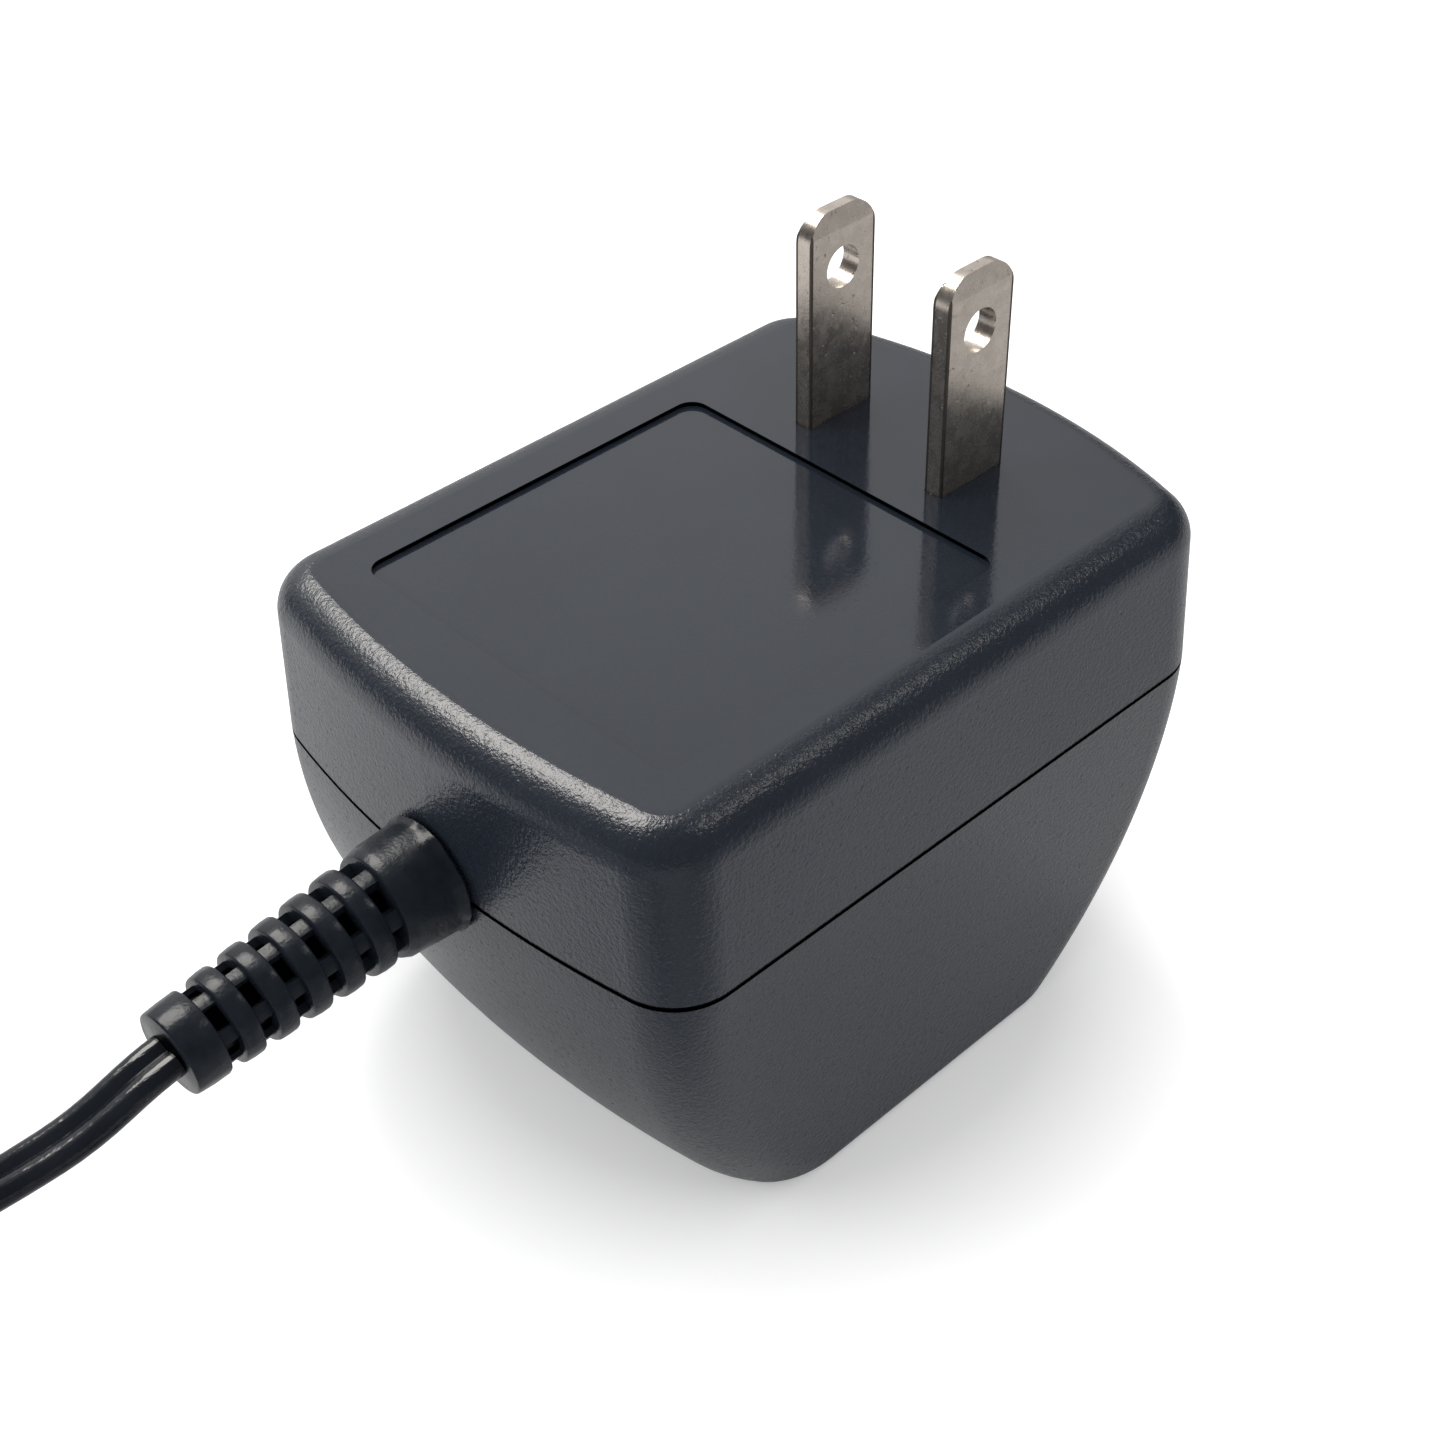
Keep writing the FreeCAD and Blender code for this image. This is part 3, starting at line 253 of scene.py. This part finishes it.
class Finish:
    """A material made of nodes around one surface shader."""

    def __init__(self, name, **surface):
        self.material = bpy.data.materials.new(name)
        self.material.use_nodes = True
        self.tree = self.material.node_tree
        self.surface = self.tree.nodes["Principled BSDF"]
        self.set(**surface)

    def node(self, kind, settings, inputs, output=0):
        """Adds a node: its settings first, then the values or links of its sockets."""
        node = self.tree.nodes.new(kind)
        for name, value in settings.items():
            if name == "stops":
                ramp = node.color_ramp
                while len(ramp.elements) < len(value):
                    ramp.elements.new(1)
                for element, (place, shade) in zip(ramp.elements, value):
                    element.position = place
                    element.color = (*shade, 1)
            else:
                setattr(node, name, value)
        for name, value in inputs.items():
            self.plug(node.inputs[name], value)
        return Wire(self, node.outputs[output])

    def plug(self, socket, value):
        """Links a wire to a socket, or gives the socket a fixed value."""
        if isinstance(value, Wire):
            self.tree.links.new(value.socket, socket)
        elif isinstance(value, tuple) and socket.type == "RGBA":
            socket.default_value = (*value, 1)
        else:
            socket.default_value = value

    def set(self, **surface):
        """Sets sockets of the surface shader, named with underscores for spaces."""
        for name, value in surface.items():
            label = name.replace("_", " ").title().replace("Ior", "IOR")
            self.plug(self.surface.inputs[label], value)

    def place(self):
        """Where a point of the piece lies, in metres."""
        return self.node("ShaderNodeTexCoord", {}, {}, "Object")

    def axis(self, name):
        return self.node("ShaderNodeSeparateXYZ", {}, {0: self.place()}, name)

    def ray(self, kind):
        return self.node("ShaderNodeLightPath", {}, {}, kind)

    def vector(self, operation, output, first, second=None):
        """A sum of places or directions, read as a vector or as a value."""
        inputs = {0: first} if second is None else {0: first, 1: second}
        return self.node("ShaderNodeVectorMath", {"operation": operation}, inputs, output)

    def noise(self, size, detail=2.0, roughness=0.5):
        """Soft random spots of about a size in metres, from 0 to 1."""
        inputs = {"Vector": self.place(), "Scale": 1 / size, "Detail": detail, "Roughness": roughness}
        return self.node("ShaderNodeTexNoise", {}, inputs, "Fac")

    def spots(self, size, detail, limit, sharpness):
        """Scattered spots: 0 where the noise is under a limit, rising to 1 over it."""
        return ((self.noise(size, detail=detail) - limit) * sharpness).clipped()

    def streaks(self, squeeze, fineness, detail):
        """Noise drawn out along an axis, squeezed by a factor along X, Y and Z."""
        drawn = self.node("ShaderNodeMapping", {}, {"Vector": self.place(), "Scale": squeeze})
        inputs = {"Vector": drawn, "Scale": fineness, "Detail": detail}
        return self.node("ShaderNodeTexNoise", {}, inputs, "Fac")

    def bands(self, direction, fineness, distortion):
        """Even bands across a direction, as of turning marks, sheets or turns of wire."""
        inputs = {"Vector": self.place(), "Scale": fineness, "Distortion": distortion}
        return self.node("ShaderNodeTexWave", {"bands_direction": direction}, inputs, "Fac")

    def ramp(self, value, stops):
        return self.node("ShaderNodeValToRGB", {"stops": stops}, {0: value})

    def mix(self, amount, first, second):
        """A colour between two colours."""
        inputs = {"Factor": amount, 6: first, 7: second}
        return self.node("ShaderNodeMix", {"data_type": "RGBA"}, inputs, 2)

    def bump(self, height, depth):
        """Sets the surface's relief from a height of 0 to 1 and a depth in metres."""
        self.set(normal=self.node("ShaderNodeBump", {}, {"Height": height, "Distance": depth}))


def dress(finish, *names):
    """Gives CAD pieces a material."""
    for name in names:
        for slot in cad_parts[name].material_slots:
            slot.material = finish.material


pvc = Finish("cord_pvc")
smudge = pvc.noise(0.004, detail=4)
pvc.set(base_color=pvc.ramp(smudge, [(0.3, (0.008, 0.010, 0.014)), (0.7, (0.014, 0.017, 0.023))]))
pvc.set(roughness=0.07 + 0.12 * smudge)
die_lines = pvc.streaks((0.10, 1.0, 1.0), fineness=4000.0, detail=2.0)
pvc.bump(0.3 * pvc.noise(0.0009, detail=3) + die_lines, 0.000030)

line = cord_line(cord_route)
bm = bmesh.new()
sweep(bm, line, cord_section(), cord_twist)
cord = make_piece("flat_cord", bm)
cord.data.materials.append(pvc.material)
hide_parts("output_cord", "cord_coil", "cord_tail")

# Strain relief: one piece of soft black PVC, moulded over the cord and the case's wall.
# A round collar stands out of a rough bead at the wall; beyond it five rings bend on a thin core,
# and six short webs in each gap leave windows between them, up to a plain cuff at the end.
collar_length = 0.0047
collar_root_radius = 0.00415
collar_front_radius = 0.00395
collar_front_edge = 0.0003
collar_steps = 12
sunk_depth = 0.0002
sunk_radius = 0.0030
bead_radius = 0.0044
bead_width = 0.0005
collar_start = bead_width + 0.0005
lumpy_until = bead_width + 0.0003
lump_height, skin_waver = 0.00022, 0.00003
lumps_along, lumps_around = 900, 4
ring_pitch = 0.0025
ring_width = 0.00145
ring_edge = 0.00015
ring_crown = 0.00003
ring_count = 5
flex_root_radius = 0.003775
flex_tip_radius = 0.002975
web_depth = 0.00045
core_radius = 0.0021
core_skin = 0.0002
window_count = 6
window_angle = 38
window_roll = 37
around_steps = 180


def flex_outline(distance):
    """The radius that the rings reach, a distance beyond the collar's front."""
    return flex_root_radius + (flex_tip_radius - flex_root_radius) * distance / cuff_end


def in_window(angle):
    """Whether an angle about the relief's axis lies in a window rather than on a web."""
    share = 360 / window_count
    return abs((angle - window_roll + share / 2) % share - share / 2) < window_angle / 2


def rim(end, start=None):
    """The rounded end of a ring, and the whole ring where its start is given."""
    corner = [(0, 1), (0.3, 0.3), (1, 0)]
    profile = []
    if start is not None:
        profile += [(start + ring_edge * a, ring_edge * b) for a, b in corner]
        profile.append(((start + end) / 2, -ring_crown))
    profile += [(end - ring_edge * a, ring_edge * b) for a, b in reversed(corner)]
    outline = [(along, flex_outline(along) - drop) for along, drop in profile]
    return [(along, radius, radius) for along, radius in outline]


def relief_stations():
    """The relief's rings of points, from inside the wall to the cuff's end.

    Each is a distance from the collar's front, a radius on a web and a radius in a window.
    """
    stations = [(-collar_length - sunk_depth, sunk_radius, sunk_radius)]
    bead = [
        (0, bead_radius - 0.0003), (0.00015, bead_radius - 0.0001), (0.0003, bead_radius),
        (bead_width, bead_radius - 0.0001), (bead_width + 0.0002, collar_root_radius + 0.00006),
        (collar_start, collar_root_radius),
    ]
    for from_wall, radius in bead:
        stations.append((from_wall - collar_length, radius, radius))
    for step in range(1, collar_steps):
        share = step / collar_steps
        radius = collar_root_radius + (collar_front_radius - collar_root_radius) * share
        from_wall = collar_start + (collar_length - collar_start - collar_front_edge) * share
        stations.append((from_wall - collar_length, radius, radius))
    stations += rim(0)
    gap = ring_pitch - ring_width
    for number in range(ring_count + 1):
        start = number * ring_pitch
        web = flex_outline(start + gap) - web_depth
        for share in (0, 0.5, 1):
            stations.append((start + gap * share, web, core_radius))
        end = start + ring_pitch if number < ring_count else cuff_end
        stations += rim(end, start + gap)
    return stations


bm = bmesh.new()
rings = []
for along, web, window in relief_stations():
    ring = []
    for step in range(around_steps):
        degrees = 360 * step / around_steps
        angle = math.radians(degrees)
        radius = window if in_window(degrees) else web
        spot = (along * lumps_along, math.sin(angle) * lumps_around, math.cos(angle) * lumps_around)
        lumpy = along < lumpy_until - collar_length
        radius += noise.noise(Vector(spot)) * (lump_height if lumpy else skin_waver)
        spoke = Vector((-along, -math.sin(angle) * radius, math.cos(angle) * radius))
        ring.append(bm.verts.new(relief_root + (relief_turn @ spoke if along > 0 else spoke)))
    rings.append(ring)
for ring, after in zip(rings, rings[1:]):
    for n in range(around_steps):
        m = (n + 1) % around_steps
        bm.faces.new((ring[n], ring[m], after[m], after[n]))
bm.faces.new(rings[0])
bm.faces.new(rings[-1])
relief = make_piece("moulded_relief", bm, sharp_angle=50)

soft_pvc = Finish("relief_pvc", specular_ior_level=0.32)
blotch = soft_pvc.noise(0.0011, detail=4, roughness=0.6)
from_root = soft_pvc.vector("SUBTRACT", "Vector", soft_pvc.place(), tuple(relief_root))
beside_axis = soft_pvc.vector("CROSS_PRODUCT", "Vector", from_root, tuple(relief_axis))
# Painted shade: within 2.3 mm of the relief's axis the PVC is drawn near black and metallic, so the floors
# of the windows and the middle of the cuff's end face show no light.
painted_gap_shade = 1 - soft_pvc.vector("LENGTH", "Value", beside_axis).above(core_radius + core_skin)
skin = soft_pvc.ramp(blotch, [(0.3, (0.010, 0.014, 0.020)), (0.75, (0.016, 0.020, 0.028))])
soft_pvc.set(base_color=soft_pvc.mix(painted_gap_shade, skin, (0.003, 0.003, 0.004)))
soft_pvc.set(metallic=painted_gap_shade)
soft_pvc.set(roughness=0.20 + 0.10 * blotch)
soft_pvc.bump(soft_pvc.noise(0.00025, detail=2) + blotch, 0.000020)
relief.data.materials.append(soft_pvc.material)
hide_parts("strain_relief")

# Barrel plug: a grip of black PVC moulded on the cord, with a grooved tail.
# It holds a turned, nickel-plated sleeve and a thin inner contact on either side of a black insulator.
# All four pieces are CAD pieces, and only their finishes are made here.
grip_pvc = Finish("grip_pvc")
scuff = grip_pvc.noise(0.0016, detail=4)
grip_pvc.set(base_color=grip_pvc.ramp(scuff, [(0.3, (0.012, 0.012, 0.014)), (0.7, (0.021, 0.021, 0.024))]))
grip_pvc.set(roughness=0.34 + 0.2 * scuff)
grip_pvc.bump(grip_pvc.noise(0.00025, detail=2), 0.00002)
dress(grip_pvc, "plug_grip")

nickel = Finish("turned_nickel", metallic=1.0)
turning = nickel.bands("X", fineness=900.0, distortion=0.6)
haze = nickel.noise(0.002, detail=3)
nickel.set(base_color=nickel.ramp(haze, [(0.3, (0.58, 0.55, 0.50)), (0.7, (0.72, 0.70, 0.66))]))
nickel.set(roughness=0.2 + 0.15 * haze)
nickel.bump(turning, 0.000006)
dress(nickel, "plug_sleeve", "plug_contact", "secondary_pin_1", "secondary_pin_2")

insulation = Finish("insulator_plastic")
speck = insulation.noise(0.0004)
insulation.set(base_color=insulation.ramp(speck, [(0.3, (0.012, 0.012, 0.012)), (0.7, (0.02, 0.02, 0.02))]))
insulation.set(roughness=0.45 + 0.1 * speck)
insulation.bump(speck, 0.00001)
dress(insulation, "plug_insulator")

# Case: two shells of charcoal ABS, moulded in tools with a fine spark texture and bonded at the seam.
# The blade cover has a shallow recess where a label would be; the deep case curves in to its back face.
# Both are CAD pieces; the flat top and the recess's floor are smoother than the rest.
case_grain = 0.00030
case_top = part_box("blade_cover")[1].z
seam_low, seam_high = 0.02733, 0.02776
recess_depth = 0.0004
recess_low_x, recess_high_x, recess_half_y = -0.0214, 0.0090, 0.01502
recess_margin, step_margin, top_margin = 0.0002, 0.00004, 0.00003
abs_plastic = Finish("charcoal_abs", specular_ior_level=0.62)
grain = abs_plastic.noise(case_grain, detail=2, roughness=0.6)
cloud = abs_plastic.noise(0.009, detail=3)
across = abs_plastic.axis("Y")
along = abs_plastic.axis("X")
up = abs_plastic.axis("Z")
# Painted shade: a band round the seam and the recess's step are drawn near black and metallic, so they show
# neither light nor reflection.
seam = up.above(seam_low) * (1 - up.above(seam_high))
over_recess = along.above(recess_low_x - recess_margin) * (1 - along.above(recess_high_x + recess_margin))
over_recess = over_recess * (1 - abs(across).above(recess_half_y + recess_margin))
recess_step = up.above(case_top - recess_depth + step_margin) * (1 - up.above(case_top - step_margin))
painted_groove_shade = (seam + recess_step * over_recess).clipped()
flat_top = (up.above(case_top - top_margin) + over_recess).clipped()
patchy = cloud * 0.6 + grain * 0.4
shell = abs_plastic.ramp(patchy, [(0.3, (0.017, 0.0225, 0.033)), (0.7, (0.024, 0.0305, 0.043))])
abs_plastic.set(base_color=abs_plastic.mix(painted_groove_shade, shell, (0.003, 0.003, 0.004)))
abs_plastic.set(metallic=painted_groove_shade)
pits = abs_plastic.spots(0.00034, detail=1, limit=0.62, sharpness=7)
spark_texture = (0.08 * grain + 0.15 * pits) * (1 - 0.6 * flat_top)
abs_plastic.set(roughness=0.18 + spark_texture + 0.04 * cloud - 0.12 * flat_top)
abs_plastic.bump((grain - 0.25 * pits) * (1 - 0.92 * flat_top), 0.000055)
dress(abs_plastic, "blade_cover", "deep_case")

# Blades: stamped from 1.5 mm brass strip and nickel-plated, dull and slightly mottled from use.
# Each has a round lockout hole and a bevelled tip; the plating is dark in small dents, and painted shade
# darkens it along the edges.
# Both are CAD pieces.
blade_x, blade_y = 0.01517, 0.00635
blade_width, blade_thickness = 0.00635, 0.0015
painted_edge_width = 0.00019
plating = Finish("worn_nickel", metallic=0.93)
mottle = plating.noise(0.0012, detail=6, roughness=0.65)
streak = plating.streaks((1.0, 1.0, 0.08), fineness=9000.0, detail=3.0)
# Painted shade: the plating is drawn dark and rougher within 0.19 mm of the blades' long edges.
from_side = blade_width / 2 - abs(plating.axis("X") - blade_x)
from_face = blade_thickness / 2 - abs(abs(plating.axis("Y")) - blade_y)
painted_edge_shade = (1 - from_side.above(painted_edge_width)) * (1 - from_face.above(painted_edge_width))
dents = plating.spots(0.0005, detail=2, limit=0.66, sharpness=8)
nickel_shades = [(0.3, (0.50, 0.44, 0.39)), (0.5, (0.58, 0.52, 0.46)), (0.7, (0.68, 0.61, 0.55))]
shine = plating.ramp(mottle, nickel_shades)
plating.set(base_color=plating.mix(0.85 * painted_edge_shade + 0.25 * dents, shine, (0.05, 0.045, 0.045)))
plating.set(roughness=0.16 + 0.22 * mottle + 0.3 * painted_edge_shade)
plating.bump(streak + 2 * mottle - 4 * dents, 0.000006)
dress(plating, "blade_front", "blade_rear")
for name in ("blade_front", "blade_rear"):
    worn_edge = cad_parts[name].modifiers.new("worn_edge", "BEVEL")
    worn_edge.width = 0.00014
    worn_edge.segments = 2
    worn_edge.limit_method = "ANGLE"
    worn_edge.angle_limit = math.radians(40)
    worn_edge.harden_normals = True

# Transformer: varnished steel laminations, a natural nylon bobbin in two chambers,
# two windings of enamelled copper wire and a turn of yellow polyester tape over each.
# All of it is closed in by the case.
steel = Finish("laminated_steel", metallic=0.7)
sheets = steel.bands("Z", fineness=620.0, distortion=0.2)
rust = steel.noise(0.003, detail=4)
varnish = steel.ramp(sheets * 0.5 + rust * 0.5, [(0.3, (0.06, 0.055, 0.05)), (0.7, (0.2, 0.19, 0.18))])
steel.set(base_color=varnish)
steel.set(roughness=0.35 + 0.25 * rust)
steel.bump(sheets, 0.00008)
dress(steel, "core_e_stack", "core_i_stack")

nylon = Finish("bobbin_nylon")
milk = nylon.noise(0.003, detail=2)
nylon.set(base_color=nylon.ramp(milk, [(0.3, (0.62, 0.60, 0.54)), (0.7, (0.72, 0.70, 0.64))]))
nylon.set(roughness=0.4 + 0.1 * milk)
nylon.bump(nylon.noise(0.0004), 0.00001)
dress(nylon, "bobbin")

copper = Finish("enamelled_copper", metallic=0.9)
layers = copper.bands("Y", fineness=1500.0, distortion=0.3)
enamel = copper.noise(0.002, detail=3)
copper.set(base_color=copper.ramp(enamel, [(0.3, (0.40, 0.14, 0.05)), (0.7, (0.62, 0.26, 0.10))]))
copper.set(roughness=0.2 + 0.15 * enamel)
copper.bump(layers, 0.0001)
dress(copper, "primary_winding", "secondary_winding")

tape = Finish("polyester_tape", coat_weight=0.3)
wrinkle = tape.noise(0.002, detail=4)
tape.set(base_color=tape.ramp(wrinkle, [(0.3, (0.60, 0.42, 0.04)), (0.7, (0.75, 0.55, 0.08))]))
tape.set(roughness=0.25 + 0.15 * wrinkle)
tape.bump(wrinkle, 0.00005)
dress(tape, "primary_tape", "secondary_tape")

# Rectifier board: a small phenolic board on the bobbin's flanges, with four diodes in a row,
# a smoothing capacitor lying on its side and the ends of the secondary on two pins.
# The leads of diodes and capacitor are tinned; the diodes have a silver band at one end.
phenolic = Finish("phenolic_board")
fibre = phenolic.noise(0.0008, detail=5, roughness=0.7)
phenolic.set(base_color=phenolic.ramp(fibre, [(0.3, (0.28, 0.15, 0.05)), (0.7, (0.42, 0.25, 0.09))]))
phenolic.set(roughness=0.45 + 0.15 * fibre)
phenolic.bump(fibre, 0.00002)
dress(phenolic, "rectifier_board")


def component(name, axis, low, high, body_shade, band_shade, band_low, band_high):
    """A part with a moulded body between two places along an axis, a printed band and tinned leads."""
    finish = Finish(name)
    along = finish.axis(axis)
    body = along.above(low) * (1 - along.above(high))
    band = along.above(band_low) * (1 - along.above(band_high))
    printed = finish.mix(band, body_shade, band_shade)
    cloudy = finish.noise(0.0008, detail=3)
    tin = finish.ramp(cloudy, [(0.3, (0.5, 0.5, 0.5)), (0.7, (0.68, 0.68, 0.67))])
    finish.set(base_color=finish.mix(body, tin, printed))
    finish.set(metallic=1 - body)
    finish.set(roughness=0.3 + 0.15 * cloudy)
    finish.bump(cloudy, 0.00001)
    return finish


diode_half_body = 0.0026
band_start, band_stop = 0.0012, 0.0005
diode_low, diode_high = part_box("diode_1")
diode_middle = (diode_low.y + diode_high.y) / 2
diode_end = diode_middle + diode_half_body
diode = component(
    "diode_epoxy", "Y", diode_middle - diode_half_body, diode_end,
    (0.015, 0.015, 0.015), (0.55, 0.55, 0.55), diode_end - band_start, diode_end - band_stop,
)
dress(diode, "diode_1", "diode_2", "diode_3", "diode_4")
can_length, lid_depth, past_lid = 0.011, 0.0004, 0.001
can_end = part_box("smoothing_capacitor")[1].x
can = component(
    "capacitor_sleeve", "X", can_end - can_length, can_end,
    (0.02, 0.03, 0.07), (0.45, 0.45, 0.45), can_end - lid_depth, can_end + past_lid,
)
dress(can, "smoothing_capacitor")

# Thermal fuse and leads: a small sealed fuse on the core's yoke, in line with one blade,
# and stranded wires in thin PVC between blades, windings, board and cord.
fuse = Finish("fuse_case")
glaze = fuse.noise(0.001, detail=3)
fuse.set(base_color=fuse.ramp(glaze, [(0.3, (0.60, 0.58, 0.52)), (0.7, (0.75, 0.73, 0.68))]))
fuse.set(roughness=0.3 + 0.1 * glaze)
fuse.bump(glaze, 0.00001)
dress(fuse, "thermal_fuse")

lead = Finish("lead_pvc")
film = lead.noise(0.001, detail=3)
lead.set(base_color=lead.ramp(film, [(0.3, (0.015, 0.015, 0.016)), (0.7, (0.03, 0.03, 0.032))]))
lead.set(roughness=0.3 + 0.15 * film)
lead.bump(film, 0.00002)
dress(lead, "live_lead", "fuse_lead", "neutral_lead", "output_conductor_1", "output_conductor_2")

# Photo table: a matt white sheet under the adapter, in a pale room that is darker on the camera's side.
# A window behind on the left and a lamp overhead light the table; two more lamps only show in gloss.
# The camera sees the open sheet as white, and near the object the sheet keeps the shadow.
sheet_half_width = 1.5
sheet_drop = 0.00003
case_shadow, coil_shadow, plug_shadow = 0.024, coil_outer + 0.008, 0.020
shadow_fade = 0.016
camera_side = (-0.7, -0.7, 0.0)
sheet_bm = bmesh.new()
bmesh.ops.create_grid(sheet_bm, x_segments=1, y_segments=1, size=sheet_half_width)
sheet = bpy.data.objects.new("table_sheet", bpy.data.meshes.new("table_sheet"))
sheet_bm.to_mesh(sheet.data)
sheet_bm.free()
sheet.location = (0, 0, -sheet_drop)
bpy.context.collection.objects.link(sheet)
paper = Finish("white_sheet", roughness=0.9, specular_ior_level=0.1, emission_strength=1.0)
camera_ray = paper.ray("Is Camera Ray")
glossy_ray = paper.ray("Is Glossy Ray")
along_table = paper.axis("X")


def clear_of(centre, radius):
    """0 on the sheet within a radius of a place, rising to 1 a little outside it."""
    distance = paper.vector("DISTANCE", "Value", paper.place(), centre)
    return ((distance - radius) / shadow_fade).clipped()


open_table = clear_of((0, 0, 0), case_shadow) * clear_of(tuple(coil_centre), coil_shadow)
open_table = open_table * clear_of((plug_low.x, tail_side, 0), plug_shadow)
# Painted reflection: to glossy rays the sheet is drawn dark on the camera's side and towards +X, and glows
# beyond the cord end; this sets the dark and light bands mirrored in the case.
to_camera = paper.vector("DOT_PRODUCT", "Value", paper.place(), camera_side)
dim_side = ((to_camera - 0.035) / 0.025).clipped() + 0.25 * ((along_table - 0.01) / 0.05).clipped()
painted_reflection_glow = ((-0.030 - along_table) / 0.03).clipped()
painted_reflection_shade = (glossy_ray * dim_side).clipped()
paper.set(base_color=paper.mix(painted_reflection_shade, (0.82, 0.82, 0.82), (0.20, 0.20, 0.20)))
paper.set(emission_color=camera_ray * (0.26 + 0.4 * open_table) + glossy_ray * 0.15 * painted_reflection_glow)
sheet.data.materials.append(paper.material)


class Surround(Finish):
    """The world's light, as sums of the same kind as a material's."""

    def __init__(self, name):
        self.world = bpy.data.worlds.new(name)
        self.world.use_nodes = True
        self.tree = self.world.node_tree
        self.surface = self.tree.nodes["Background"]


pale_way = (0.25, 0.75, 0.61)
room_level, mirrored_dark, mirrored_pale = 0.75, 0.05, 0.91
room = Surround("pale_room")
camera_ray = room.ray("Is Camera Ray")
glossy_ray = room.ray("Is Glossy Ray")
towards = room.node("ShaderNodeTexCoord", {}, {}, "Generated")
pale_side = ((room.vector("DOT_PRODUCT", "Value", towards, pale_way) - 0.55) * 2.6).clipped()
mirrored = mirrored_dark + (mirrored_pale - mirrored_dark) * pale_side
room.set(color=room_level + (1 - room_level) * camera_ray + glossy_ray * (mirrored - room_level))
bpy.context.scene.world = room.world


def add_lamp(name, direction, distance, size, brightness, lights, tint=(1.0, 1.0, 1.0)):
    """A square soft lamp that faces the case, and lights either its body or its gloss.

    Brightness is what a mirror would show of it.
    """
    lamp = bpy.data.objects.new(name, bpy.data.lights.new(name, "AREA"))
    lamp.data.size = size
    lamp.data.color = tint
    lamp.data.energy = brightness * math.pi * size ** 2
    aim = Vector(direction).normalized()
    lamp.location = case_middle + aim * distance
    lamp.rotation_mode = "QUATERNION"
    lamp.rotation_quaternion = aim.to_track_quat("Z", "Y")
    lamp.visible_diffuse = lights != "gloss"
    lamp.visible_glossy = lights != "body"
    bpy.context.collection.objects.link(lamp)


case_middle = Vector((0, 0, 0.03))
warm = (1.0, 0.96, 0.9)
add_lamp("window", (-0.65, 0.62, 0.44), 0.6, size=0.30, brightness=3.0, lights="body")
add_lamp("window_gleam", (-0.08, 0.53, 0.845), 0.6, size=0.34, brightness=9.0, lights="gloss", tint=warm)
add_lamp("ceiling", (0.47, -0.38, 0.79), 0.6, size=0.11, brightness=5.0, lights="gloss", tint=warm)
add_lamp("overhead", (0.24, 0.42, 0.87), 0.7, size=0.16, brightness=11.0, lights="body")
bpy.context.scene.view_settings.view_transform = "Standard"
